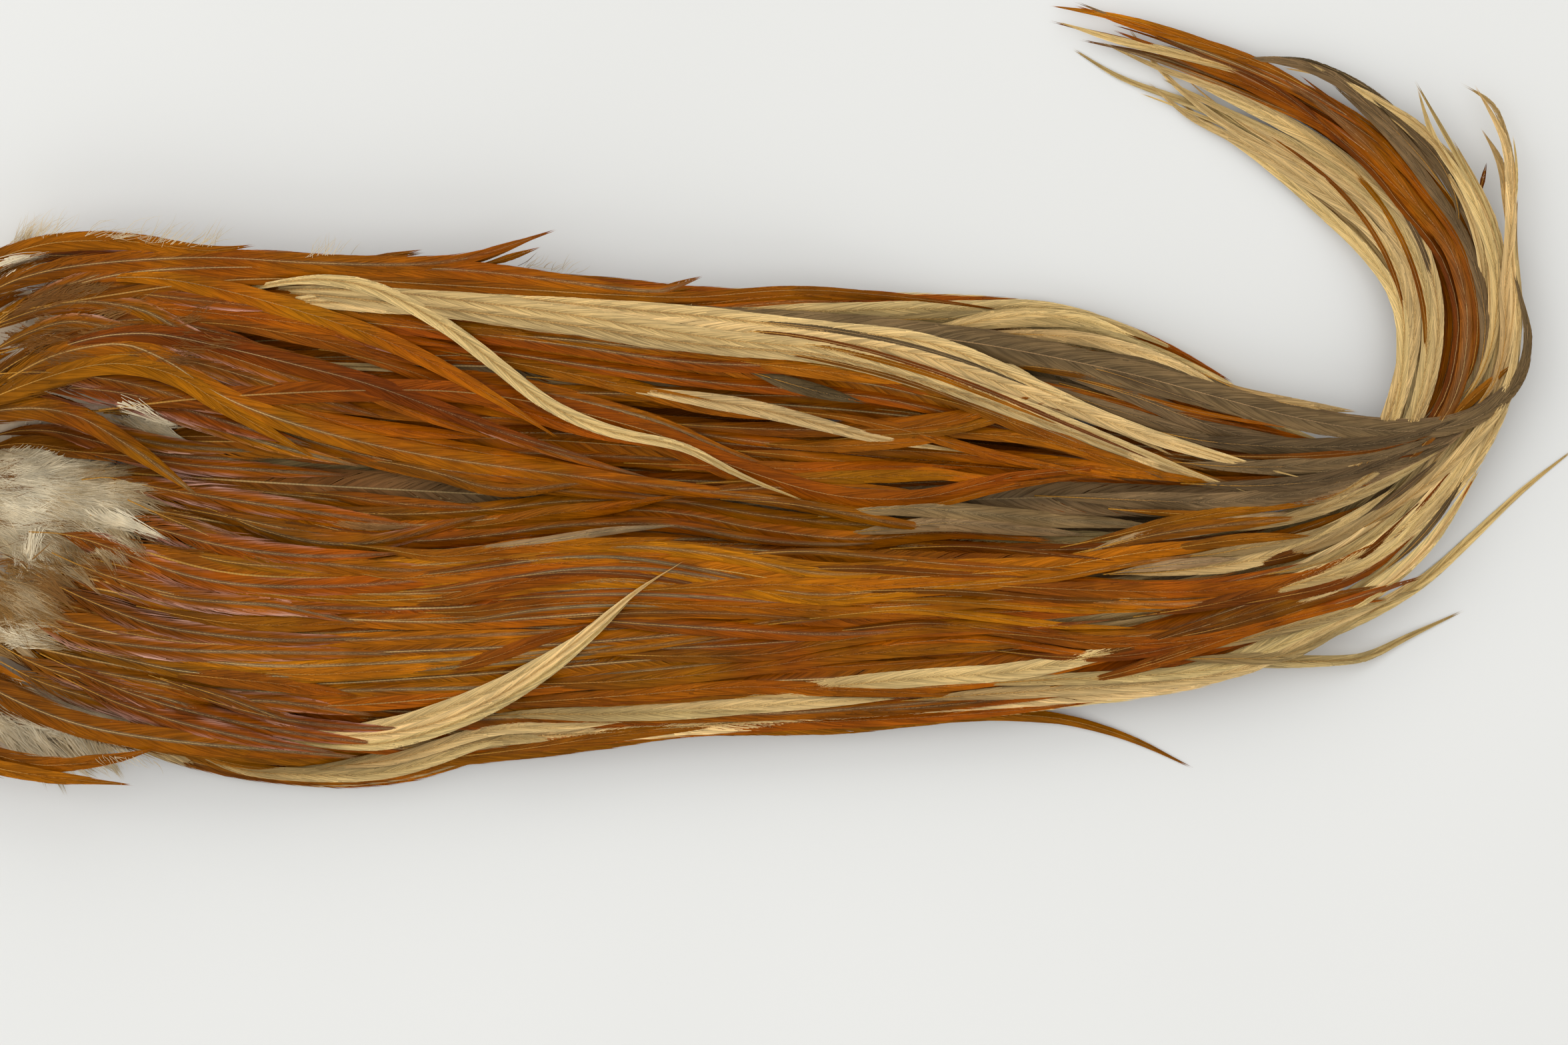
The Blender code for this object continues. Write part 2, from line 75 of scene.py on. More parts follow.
print(len(FEATHER_NODES), "feathers in the frame, box", [round(x / MM) for x in CAD_HIGH - CAD_LOW], "mm")

# %% [markdown]
# ## The camera
#
# The patch is seen from straight above, the way a flat thing is laid out and photographed. A long lens far
# away keeps the perspective small. The lens follows from two lengths: how far the camera is above the
# middle of the pile, and how much of the table the picture's width should take in.

# %% Camera
VIEW_WIDTH = 258.72 * MM
VIEW_CENTRE = (142.56 * MM, -0.44 * MM)
PILE_MIDDLE = 8 * MM
CAMERA_HEIGHT = 1.0
SENSOR_WIDTH = 36.0


def add_camera():
    bpy.ops.object.camera_add(location=(*VIEW_CENTRE, CAMERA_HEIGHT), rotation=(0, 0, 0))
    camera = bpy.context.object
    camera.data.sensor_width = SENSOR_WIDTH
    camera.data.lens = SENSOR_WIDTH * (CAMERA_HEIGHT - PILE_MIDDLE) / VIEW_WIDTH
    bpy.context.scene.camera = camera
    print("lens", round(camera.data.lens, 1), "mm")


add_camera()

# %% [markdown]
# ## Small tools
#
# Operators act on whatever is selected, so each new shape starts by selecting nothing. Node materials are
# wired in code with a few short helpers, so that each finish below reads as a list of what it is made of.

# %% Helpers
def select_nothing():
    if bpy.context.object and bpy.context.object.mode != "OBJECT":
        bpy.ops.object.mode_set(mode="OBJECT")
    bpy.ops.object.select_all(action="DESELECT")


def tree_of(node):
    """A search tree of a node's faces, which finds its height from above."""
    return BVHTree.FromPolygons([v.co for v in node.data.vertices], [p.vertices for p in node.data.polygons])


def new_material(name):
    made = bpy.data.materials.new(name)
    made.use_nodes = True
    return made, made.node_tree.nodes, made.node_tree.links, made.node_tree.nodes["Principled BSDF"]


def add_node(nodes, kind, **settings):
    node = nodes.new(kind)
    for name, value in settings.items():
        if name in node.inputs:
            node.inputs[name].default_value = value
        else:
            setattr(node, name, value)
    return node


def ramp(nodes, links, source, stops):
    """A colour ramp on a value: stops are (position, grey or colour)."""
    node = nodes.new("ShaderNodeValToRGB")
    elements = node.color_ramp.elements
    while len(elements) < len(stops):
        elements.new(0.5)
    for element, (place, colour) in zip(elements, stops):
        element.position = place
        element.color = (*colour, 1) if isinstance(colour, tuple) else (colour, colour, colour, 1)
    links.new(source, node.inputs["Fac"])
    return node.outputs["Color"]


def mix(nodes, links, share, first, second, blend="MIX"):
    node = nodes.new("ShaderNodeMix")
    node.data_type = "RGBA"
    node.blend_type = blend
    for socket, value in ((node.inputs[0], share), (node.inputs[6], first), (node.inputs[7], second)):
        if isinstance(value, bpy.types.NodeSocket):
            links.new(value, socket)
        else:
            socket.default_value = (*value, 1) if isinstance(value, tuple) else value
    return node.outputs[2]


def maths(nodes, links, operation, first, second=0.0):
    node = nodes.new("ShaderNodeMath")
    node.operation = operation
    for socket, value in zip(node.inputs, (first, second)):
        if isinstance(value, bpy.types.NodeSocket):
            links.new(value, socket)
        else:
            socket.default_value = value
    return node.outputs[0]


# %% [markdown]
# ## Where each feather lies
#
# The frame's feathers are plain strips. Their flat underside is a ribbon of triangles, and the ribbon's rim
# runs up one side and down the other. Pairing the rim's points across the ribbon gives the centre line and
# the width, from the root, which is the wider end, to the tip. A smooth curve through those points takes
# the corners out.

# %% Read a feather's lie from its solid
FINE = 1.0 * MM
ROOT_TAPER = 0.14
TIP_TAPER = 0.42


def smooth_through(points, steps=10):
    """Catmull-Rom curve through the points."""
    p = np.vstack([2 * points[0] - points[1], points, 2 * points[-1] - points[-2]])
    t = np.linspace(0, 1, steps, endpoint=False)[:, None]
    made = [0.5 * (2 * b + (c - a) * t + (2 * a - 5 * b + 4 * c - d) * t**2 + (3 * b - a - 3 * c + d) * t**3)
            for a, b, c, d in zip(p[:-3], p[1:-2], p[2:-1], p[3:])]
    return np.vstack(made + [points[-1:]])


class Lie:
    """How a feather lies: centre line, sideways direction and half width, for each millimetre of it."""

    def __init__(self, rows, half=None):
        rows = np.asarray(rows, float)
        along = np.concatenate([[0], np.cumsum(np.linalg.norm(np.diff(rows[:, :3], axis=0), axis=1))])
        count = max(8, round(along[-1] / FINE))
        at = np.linspace(0, along[-1], count + 1)
        rows = np.column_stack([np.interp(at, along, rows[:, k]) for k in range(rows.shape[1])])
        self.length = along[-1]
        self.at = at
        self.line = rows[:, :3]
        self.half = rows[:, 3] if half is None else half(at / along[-1])
        tangent = np.gradient(self.line, axis=0)
        self.tangent = tangent / np.linalg.norm(tangent, axis=1)[:, None]
        flat = self.tangent[:, :2] / np.linalg.norm(self.tangent[:, :2], axis=1)[:, None]
        self.side = np.column_stack([-flat[:, 1], flat[:, 0]])

    def width_at(self, s):
        return np.interp(s, self.at, self.half)

    def place(self, s, v, z):
        """Points at distance s along the feather, v to the side and z up."""
        inside = np.clip(s, 0, self.length)
        past = s - inside
        out = []
        for k in range(3):
            spot = np.interp(inside, self.at, self.line[:, k])
            spot = spot + past * np.interp(inside, self.at, self.tangent[:, k])
            if k < 2:
                spot = spot + v * np.interp(inside, self.at, self.side[:, k])
            else:
                spot = spot + z
            out.append(spot)
        return np.stack(out, axis=-1)


def outline(u):
    """A hackle's outline: a thin root, long parallel sides and a drawn-out tip."""
    root = np.clip(u / ROOT_TAPER, 0, 1)
    tip = np.clip((1 - u) / TIP_TAPER, 0, 1)
    return (0.1 + 0.9 * np.sin(root * math.pi / 2)) * (0.05 + 0.95 * np.sin(tip * math.pi / 2) ** 0.8)


def underside_rim(node):
    """The rim of a solid's flat underside, in order, as points."""
    flat = np.empty(len(node.data.vertices) * 3)
    node.data.vertices.foreach_get("co", flat)
    places, same = np.unique(flat.reshape(-1, 3).round(7), axis=0, return_inverse=True)
    corners = np.empty(len(node.data.polygons) * 3, int)
    node.data.polygons.foreach_get("vertices", corners)
    faces = same.ravel()[corners].reshape(-1, 3)
    a, b, c = (places[faces[:, k]] for k in range(3))
    normal = np.cross(b - a, c - a)
    below = faces[normal[:, 2] < -0.7 * np.linalg.norm(normal, axis=1)]
    edges = {(f[k], f[(k + 1) % 3]) for f in below for k in range(3)}
    following = {start: end for start, end in edges if (end, start) not in edges}
    walk = [next(iter(sorted(following)))]
    while following[walk[-1]] != walk[0]:
        walk.append(following[walk[-1]])
    return places[walk]


def lie_of(name):
    rim = underside_rim(frame["nodes"][name])
    stations = len(rim) // 2
    pairs = np.arange(stations)

    def across(i):
        return rim[(i - pairs) % len(rim)], rim[(i + 1 + pairs) % len(rim)]

    def total_width(two):
        return np.linalg.norm(two[0] - two[1], axis=1).sum()

    left, right = min((across(i) for i in range(len(rim))), key=total_width)
    half = np.linalg.norm(left - right, axis=1) / 2
    rows = np.column_stack([(left + right) / 2, half])
    if half[0] < half[-1]:
        rows = rows[::-1]
    return Lie(smooth_through(rows))


LIES = {name: lie_of(name) for name in FEATHER_NODES}
print("longest feather", round(max(lie.length for lie in LIES.values()) / MM), "mm")

# %% [markdown]
# ## One barb and one quill
#
# Every feather repeats two shapes: a barb, which is a narrow blade that leaves the quill and bends towards
# the tip, and the quill itself. Each is modelled once. The barb is a plane cut across and pulled to
# a point. The quill is a short ring of tube, repeated end to end by an Array. Both are one unit long, so
# that they can be stretched to any feather.

# %% Model the barb
def barb_blank(cuts, widths):
    """A pointed blade along X from 0 to 1. widths are shares of full width, at the root and each cut."""
    select_nothing()
    bpy.ops.mesh.primitive_plane_add(size=1, location=(0.5, 0, 0))
    blade = bpy.context.object
    bpy.ops.object.transform_apply(location=True, rotation=True, scale=True)
    for share in cuts:
        bpy.ops.object.mode_set(mode="EDIT")
        bpy.ops.mesh.select_all(action="SELECT")
        bpy.ops.mesh.bisect(plane_co=(share, 0, 0), plane_no=(1, 0, 0))
        bpy.ops.object.mode_set(mode="OBJECT")
    for share, width in zip([0, *cuts], widths):
        for vertex in blade.data.vertices:
            if abs(vertex.co.x - share) < 1e-4:
                vertex.co.y *= width
    bpy.ops.object.mode_set(mode="EDIT")
    bpy.ops.mesh.select_mode(type="VERT")
    bpy.ops.mesh.select_all(action="DESELECT")
    bpy.ops.object.mode_set(mode="OBJECT")
    for vertex in blade.data.vertices:
        vertex.select = vertex.co.x > 0.999
    bpy.ops.object.mode_set(mode="EDIT")
    bpy.ops.mesh.merge(type="CENTER")
    bpy.ops.object.mode_set(mode="OBJECT")
    return take_shape(blade)


def take_shape(thing):
    """The thing's points, and its triangles and quads, as arrays; the thing itself is put away."""
    points = np.array([vertex.co for vertex in thing.data.vertices])
    faces = [tuple(face.vertices) for face in thing.data.polygons]
    mesh = thing.data
    bpy.data.objects.remove(thing)
    bpy.data.meshes.remove(mesh)
    kinds = [[face for face in faces if len(face) == corners] for corners in (3, 4)]
    return points, [np.array(kind, int) for kind in kinds if kind]


def quill_blank(sides, rings):
    """A tube along X from 0 to 1, closed at both ends."""
    select_nothing()
    bpy.ops.mesh.primitive_cylinder_add(vertices=sides, radius=1, depth=1 / rings, end_fill_type="NOTHING",
                                        location=(0.5 / rings, 0, 0), rotation=(0, math.pi / 2, 0))
    tube = bpy.context.object
    bpy.ops.object.transform_apply(location=True, rotation=True, scale=True)
    row = tube.modifiers.new("rings end to end", "ARRAY")
    row.count = rings
    row.use_relative_offset = False
    row.use_constant_offset = True
    row.constant_offset_displace = (1 / rings, 0, 0)
    row.use_merge_vertices = True
    row.merge_threshold = 0.0001
    bpy.ops.object.modifier_apply(modifier=row.name)
    bpy.ops.object.mode_set(mode="EDIT")
    bpy.ops.mesh.select_all(action="SELECT")
    bpy.ops.mesh.quads_convert_to_tris()
    bpy.ops.mesh.fill_holes(sides=0)
    bpy.ops.mesh.select_all(action="SELECT")
    bpy.ops.mesh.quads_convert_to_tris()
    bpy.ops.mesh.normals_make_consistent(inside=False)
    bpy.ops.object.mode_set(mode="OBJECT")
    return take_shape(tube)


FINE_BARB = barb_blank((0.3, 0.62), (1.0, 0.9, 0.66))
PLAIN_BARB = barb_blank((0.45,), (1.0, 0.8))
STRAND = barb_blank((0.25, 0.5, 0.75), (1.0, 1.0, 0.8, 0.5))
FINE_QUILL = quill_blank(5, 80)
PLAIN_QUILL = quill_blank(3, 34)
print("barb", len(FINE_BARB[0]), "points, quill", len(FINE_QUILL[0]), "points")

# %% [markdown]
# ## A feather from its barbs
#
# On a real hackle the barbs leave the quill at about forty degrees and bend until they nearly follow the
# edge. Neighbours overlap like slates, and where the vane has split there is a slit. An Array with a Curve
# modifier could repeat the blade, but every barb would be the same. Copying the blade's points with array
# arithmetic gives each barb its own reach, lean and shade, and still ends in one joined mesh for each
# feather.
#
# Two point attributes carry what the finish needs. The first says how far along and across the feather a
# point is, gives its barb a random value and says where it lies across the barb's ribbon. The second holds
# the shade, hue and web of the whole feather, and how near its edge the point is.

# %% Lay barbs along a quill
QUILL_RADIUS = 0.12 * MM
BARB_WIDTH = 0.36 * MM
BARB_REACH = 10.5 * MM
CREST = 0.17
VANE_DROOP = 0.20
SLATE_TILT = 0.25
ACROSS_UNIT = 4 * MM
ALONG_UNIT = 100 * MM
BARE_TIP = 0.8 * MM
SPLIT_RUN = 3.5 * MM
CLUMP_RUN, CLUMP_DRIFT = 6 * MM, 9 * MM
DOWNY_WAVE = 2 * MM
PAST_EDGE = 1.4
# how ragged the edge is on a plain feather, a grown one, a stray and one under the pile
RAGGED, GROWN_RAGGED, STRAY_RAGGED, UNDER_RAGGED = 0.08, 0.09, 0.3, 0.06
USUAL_LENGTH = 160 * MM


def noise_along(rng, s, size):
    """A smooth random wave along a feather, from -1 to 1."""
    knots = rng.uniform(-1, 1, int(np.max(s) / size) + 4)
    x = s / size
    low = np.floor(x).astype(int)
    share = x - low
    share = share * share * (3 - 2 * share)
    return knots[low] * (1 - share) + knots[low + 1] * share


def lay_barbs(lie, rng, blank, pitch, start=0.0, loose=0.0, ragged=RAGGED, roll=0.0, width=BARB_WIDTH):
    """Points, faces and finish values of a feather's barbs, which are downy as far as loose from the root."""
    shape, faces = blank
    t, w = shape[:, 0], shape[:, 1]
    all_points, all_values = [], []
    for hand in (-1, 1):
        root = np.arange(start, lie.length - BARE_TIP, pitch)
        root = np.clip(root + rng.uniform(-0.3, 0.3, len(root)) * pitch, 0, lie.length)
        count = len(root)
        downy = np.clip(1 - (root - start) / loose, 0, 1) if loose else np.zeros(count)
        split = noise_along(rng, root, SPLIT_RUN)
        lean = np.modf(root / CLUMP_RUN + 2 * noise_along(rng, root, CLUMP_DRIFT))[0]
        reach = np.minimum(BARB_REACH, 1.02 * (lie.length - root) + 0.4 * MM)
        reach = reach * (0.92 + 0.16 * lean + rng.uniform(-0.05, 0.05, count)) * (1 + 0.15 * downy)
        spread = 1 - ragged * (0.5 + 0.5 * split) + rng.uniform(-0.5, 0.4, count) * ragged
        spread = spread + downy * rng.uniform(0.1, 0.7, count)
        strand = rng.uniform(0, 1, count)
        lift = rng.uniform(-0.03, 0.03, count) * MM + downy * rng.uniform(-0.15, 0.3, count) * MM
        s = root[:, None] + reach[:, None] * t**1.15
        across = np.sin(t * math.pi / 2)
        half = lie.width_at(np.clip(s, 0, lie.length))
        waves = noise_along(rng, root, DOWNY_WAVE)[:, None] * across * 0.6 * MM
        v = half * across * spread[:, None] + downy[:, None] * waves
        along_rate = reach[:, None] * 1.15 * np.maximum(t, 0.02) ** 0.15
        side_rate = half * (math.pi / 2) * np.cos(np.clip(t, 0, 0.98) * math.pi / 2) * spread[:, None]
        size = np.hypot(along_rate, side_rate)
        narrow = np.clip(half / (1.2 * MM), 0.35, 1) * (1 - 0.5 * downy[:, None])
        offset = w * width * narrow * (0.9 + 0.25 * strand[:, None])
        s = s - side_rate / size * offset
        v = v + along_rate / size * offset
        share = np.clip(v / np.maximum(half, 0.1 * MM), 0, PAST_EDGE)
        tone = np.clip(v / np.maximum(half, 0.7 * MM), 0, PAST_EDGE)
        z = CREST * half - VANE_DROOP * half * share**1.6 + lift[:, None] * t - offset * SLATE_TILT
        z = z + hand * roll * v
        ribbon = np.broadcast_to(w + 0.5, s.shape)
        strands = np.broadcast_to(strand[:, None], s.shape)
        values = np.stack([s / ALONG_UNIT, v / ACROSS_UNIT, strands, ribbon, tone], -1)
        all_points.append(lie.place(s, hand * v, z).reshape(-1, 3))
        all_values.append(values.reshape(-1, 5))
    counts = [len(p) // len(shape) for p in all_points]
    backward = np.repeat([True, False], counts)
    made_faces = []
    for kind in faces:
        starts = np.arange(sum(counts)) * len(shape)
        copied = kind[None] + starts[:, None, None]
        copied[backward] = copied[backward][:, :, ::-1]
        made_faces.append(copied.reshape(-1, kind.shape[1]))
    return np.vstack(all_points), made_faces, np.vstack(all_values)


def lay_quill(lie, blank):
    """The quill on top of the barbs' roots, thinning towards the tip."""
    shape, faces = blank
    s = shape[:, 0] * (lie.length * 0.97)
    u = np.clip(s / lie.length, 0, 1)
    thick = QUILL_RADIUS * (1.5 - 1.25 * u**0.7) * np.clip(lie.length / USUAL_LENGTH, 0.75, 1.25)
    half = lie.width_at(np.clip(s, 0, lie.length))
    v = shape[:, 1] * thick
    z = shape[:, 2] * thick * 0.8 + CREST * half
    values = np.column_stack([s / ALONG_UNIT, v * 0, v * 0 + 0.5, shape[:, 2] * 0.5 + 0.5, v * 0])
    return lie.place(s, v, z), faces, values


class Bundle:
    """Collects shapes and makes one mesh object of them."""

    def __init__(self, name, slot, materials):
        self.name = name
        self.slot = slot
        self.materials = materials
        self.points, self.values, self.moods = [], [], []
        self.faces = {3: [], 4: []}
        self.finishes = {3: [], 4: []}
        self.count = 0

    def add(self, shape, mood, material=0):
        points, faces, values = shape
        for kind in faces:
            self.faces[kind.shape[1]].append(kind + self.count)
            self.finishes[kind.shape[1]].append(np.full(len(kind), material))
        self.points.append(points)
        self.values.append(values[:, :4])
        self.moods.append(np.column_stack([np.broadcast_to(mood, (len(points), 3)), values[:, 4]]))
        self.count += len(points)

    def triangles(self):
        return sum(len(f) * (n - 2) for n, group in self.faces.items() for f in group)

    def build(self, replaces=()):
        mesh = bpy.data.meshes.new(self.name)
        points = np.vstack(self.points)
        mesh.vertices.add(len(points))
        mesh.vertices.foreach_set("co", points.ravel())
        loops = [np.vstack(self.faces[n]) for n in (3, 4) if self.faces[n]]
        finish = np.concatenate([np.concatenate(self.finishes[n]) for n in (3, 4) if self.faces[n]])
        sizes = np.concatenate([np.full(len(f), f.shape[1]) for f in loops])
        mesh.loops.add(int(sizes.sum()))
        mesh.loops.foreach_set("vertex_index", np.concatenate([f.ravel() for f in loops]))
        mesh.polygons.add(len(sizes))
        mesh.polygons.foreach_set("loop_start", np.concatenate([[0], np.cumsum(sizes)[:-1]]))
        mesh.polygons.foreach_set("material_index", finish)
        mesh.polygons.foreach_set("use_smooth", np.ones(len(sizes), bool))
        for name, rows in (("finish", self.values), ("mood", self.moods)):
            layer = mesh.color_attributes.new(name, "FLOAT_COLOR", "POINT")
            layer.data.foreach_set("color", np.vstack(rows).ravel())
        mesh.update(calc_edges=True)
        for material in self.materials:
            mesh.materials.append(material)
        piece = bpy.data.objects.new(self.name, mesh)
        bpy.context.scene.collection.objects.link(piece)
        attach(piece, "root")
        if replaces:
            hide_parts(*replaces)
        return piece


# %% [markdown]
# ## Feather finishes
#
# Five kinds of colour lie in the patch: ginger, rust, golden, cream and dun. They share one recipe. The
# colour runs from the web beside the quill to the edge, many feathers have a grey stripe along the quill,
# the root goes olive, each barb is a little lighter or darker than the next, and each feather has its own
# shade. Each vane darkens towards its outer edge, partly its own colour and partly painted shade where a
# neighbour overlaps it. The gloss is low. On feathers that start near the root, pale streaks on the outer
# vane are a painted highlight in the colour, on a second copy of each finish.

# %% Feather materials
FEATHER_COLOURS = {
    # edge of the vane, web by the quill, root end
    "ginger": ((0.370, 0.088, 0.0012), (0.290, 0.064, 0.0012), (0.170, 0.055, 0.0040)),
    "rust": ((0.290, 0.064, 0.0012), (0.210, 0.046, 0.0012), (0.140, 0.042, 0.0040)),
    "golden": ((0.460, 0.146, 0.0018), (0.360, 0.110, 0.0016), (0.190, 0.062, 0.0040)),
    "cream": ((0.740, 0.520, 0.220), (0.600, 0.400, 0.150), (0.360, 0.200, 0.065)),
    "dun": ((0.235, 0.145, 0.062), (0.165, 0.106, 0.048), (0.200, 0.062, 0.004)),
}
GREY_WEB = (0.200, 0.140, 0.070)
TAN_WEB = (0.430, 0.250, 0.075)
GOLDEN_PATCH = (0.450, 0.190, 0.0020)
# colour of the painted highlight: pale pinkish streaks on barbs near the root
PAINTED_GLINT_COLOUR = (0.620, 0.340, 0.250)
QUILL_COLOURS = {
    "ginger": (0.44, 0.22, 0.050), "rust": (0.36, 0.16, 0.035), "golden": (0.52, 0.27, 0.045),
    "cream": (0.48, 0.27, 0.075), "dun": (0.38, 0.22, 0.085),
}
PALE_QUILL = (0.64, 0.42, 0.16)
BARE_QUILL = (0.52, 0.23, 0.015)


def read_finish(nodes, links):
    """The values laid with the barbs: along, across, strand and ribbon, then shade, hue, web and share."""
    sockets = []
    for name in ("finish", "mood"):
        source = add_node(nodes, "ShaderNodeAttribute", attribute_name=name)
        parts = add_node(nodes, "ShaderNodeSeparateColor")
        links.new(source.outputs["Color"], parts.inputs["Color"])
        sockets += [*parts.outputs, source.outputs["Alpha"]]
    return sockets


def cloud(nodes, links, scale, low, high, detail=3.0):
    """Soft patches of light and dark from a noise."""
    coordinates = add_node(nodes, "ShaderNodeTexCoord")
    noise = add_node(nodes, "ShaderNodeTexNoise", Scale=scale, Detail=detail, Roughness=0.6)
    links.new(coordinates.outputs["Object"], noise.inputs["Vector"])
    return ramp(nodes, links, noise.outputs["Fac"], [(0.35, low), (0.65, high)])


def along_patch(nodes, links):
    """How far along the patch a point is, in metres."""
    coordinates = add_node(nodes, "ShaderNodeTexCoord")
    parts = add_node(nodes, "ShaderNodeSeparateXYZ")
    links.new(coordinates.outputs["Object"], parts.inputs[0])
    return parts.outputs["X"]


def feather_material(slot, name, painted_glints=False):
    edge, web, root = FEATHER_COLOURS[slot]
    made, nodes, links, shader = new_material(slot + name)
    along, across, strand, ribbon, shade, hue, webby, share = read_finish(nodes, links)
    colour = mix(nodes, links, ramp(nodes, links, share, [(0.05, 0.0), (0.6, 1.0)]), web, edge)
    golden = maths(nodes, links, "MULTIPLY", cloud(nodes, links, 55.0, 0.0, 0.5), hue)
    if slot in ("ginger", "rust"):
        colour = mix(nodes, links, golden, colour, GOLDEN_PATCH)
    reach = maths(nodes, links, "DIVIDE", across, maths(nodes, links, "MAXIMUM", webby, 1.0))
    stripe = maths(nodes, links, "MULTIPLY", maths(nodes, links, "MINIMUM", webby, 1.0),
                   ramp(nodes, links, reach, [(0.04, 0.9), (0.1, 0.0)]))
    stripe = maths(nodes, links, "MULTIPLY", stripe, cloud(nodes, links, 28.0, 0.1, 1.0, 1.0))
    if slot == "cream":
        stripe = maths(nodes, links, "MULTIPLY", webby, ramp(nodes, links, across, [(0.02, 0.7), (0.06, 0.0)]))
    colour = mix(nodes, links, stripe, colour, TAN_WEB if slot == "cream" else GREY_WEB)
    if slot == "dun":
        rooted = ramp(nodes, links, along_patch(nodes, links), [(0.055, 0.95), (0.095, 0.0)])
    else:
        rooted = ramp(nodes, links, along, [(0.02, 0.85), (0.34, 0.0)])
    colour = mix(nodes, links, rooted, colour, root)
    # Darker towards the vane's outer edge: partly the feather's own darker colour there, partly painted shade where
    # a neighbour overlaps it.
    edge_tone_and_painted_shade = ramp(nodes, links, share, [(0.84, 1.0), (1.0, 0.75 if slot == "cream" else 0.6)])
    colour = mix(nodes, links, 1.0, colour, edge_tone_and_painted_shade, "MULTIPLY")
    low, high = (0.9, 1.06) if slot == "cream" else (0.8, 1.14)
    colour = mix(nodes, links, 1.0, colour, cloud(nodes, links, 120.0, low, high), "MULTIPLY")
    # Painted highlight: pale pinkish streaks on the outer vane, 8 to 60 mm from the root, mixed into the base
    # colour where hard barbs would catch the lamps.
    if painted_glints:
        painted_glint = maths(nodes, links, "MULTIPLY", ramp(nodes, links, share, [(0.55, 0.0), (0.95, 1.0)]),
                      ramp(nodes, links, along, [(0.08, 0.0), (0.16, 1.0), (0.42, 1.0), (0.60, 0.0)]))
        painted_glint = maths(nodes, links, "MULTIPLY", painted_glint, cloud(nodes, links, 75.0, 0.0, 1.0, 1.0))
        painted_glint = maths(nodes, links, "MULTIPLY", painted_glint, ramp(nodes, links, strand, [(0.2, 0.15), (0.7, 1.0)]))
        colour = mix(nodes, links, painted_glint, colour, PAINTED_GLINT_COLOUR)
    rims = ramp(nodes, links, ribbon, [(k / 6, 0.6 if k % 2 == 0 else 1.14) for k in range(7)])
    colour = mix(nodes, links, 1.0, colour, rims, "MULTIPLY")

    toned = add_node(nodes, "ShaderNodeHueSaturation")
    links.new(colour, toned.inputs["Color"])
    turned = maths(nodes, links, "ADD", maths(nodes, links, "MULTIPLY", hue, 0.016), 0.492)
    links.new(turned, toned.inputs["Hue"])
    strand_value = maths(nodes, links, "ADD", maths(nodes, links, "MULTIPLY", strand, 0.60), 0.70)
    feather_value = maths(nodes, links, "ADD", maths(nodes, links, "MULTIPLY", shade, 0.9), 0.55)
    links.new(maths(nodes, links, "MULTIPLY", strand_value, feather_value), toned.inputs["Value"])
    links.new(toned.outputs["Color"], shader.inputs["Base Color"])
    links.new(ramp(nodes, links, strand, [(0.0, 0.24), (1.0, 0.34)]), shader.inputs["Roughness"])
    shader.inputs["IOR"].default_value = 1.5
    shader.inputs["Specular IOR Level"].default_value = 0.06
    return made


def quill_material(slot):
    made, nodes, links, shader = new_material(slot + "_quill")
    along, _, _, _, _, _, webby, _ = read_finish(nodes, links)
    colour = QUILL_COLOURS[slot]
    colour = mix(nodes, links, webby, colour, colour if slot == "cream" else PALE_QUILL)
    colour = mix(nodes, links, ramp(nodes, links, along, [(0.06, 1.0), (0.3, 0.0)]), colour, BARE_QUILL)
    beads = maths(nodes, links, "FRACT", maths(nodes, links, "MULTIPLY", along, 160.0))
    beads = ramp(nodes, links, beads, [(0.0, 0.82), (0.5, 1.08), (1.0, 0.82)])
    colour = mix(nodes, links, 1.0, colour, beads, "MULTIPLY")
    colour = mix(nodes, links, 1.0, colour, cloud(nodes, links, 60.0, 0.62, 1.15), "MULTIPLY")
    links.new(colour, shader.inputs["Base Color"])
    shader.inputs["Roughness"].default_value = 0.4
    shader.inputs["Specular IOR Level"].default_value = 0.35
    return made


VANE = {slot: feather_material(slot, "_vane") for slot in FEATHER_COLOURS}
# a second copy of each vane finish, with the painted highlight in its colour
PAINTED_GLINT_VANE = {slot: feather_material(slot, "_painted_glint_vane", painted_glints=True) for slot in FEATHER_COLOURS}
QUILL = {slot: quill_material(slot) for slot in FEATHER_COLOURS}
print(len(VANE), "vane finishes")

# %% [markdown]
# ## Laying feathers on a pile
#
# A feather that is dropped on others bridges them and never dips into a narrow gap. The pile is kept as a
# map of heights, one value for each half millimetre of the table. A new feather asks the map for the
# highest spot under each part of it, smooths that into a line it can follow, and is then drawn into the map
# itself.

# %% The pile
CELL = 0.5 * MM
MAP_MARGIN = 12 * MM
STEEPEST = 0.2
ACROSS_SAMPLES = 13


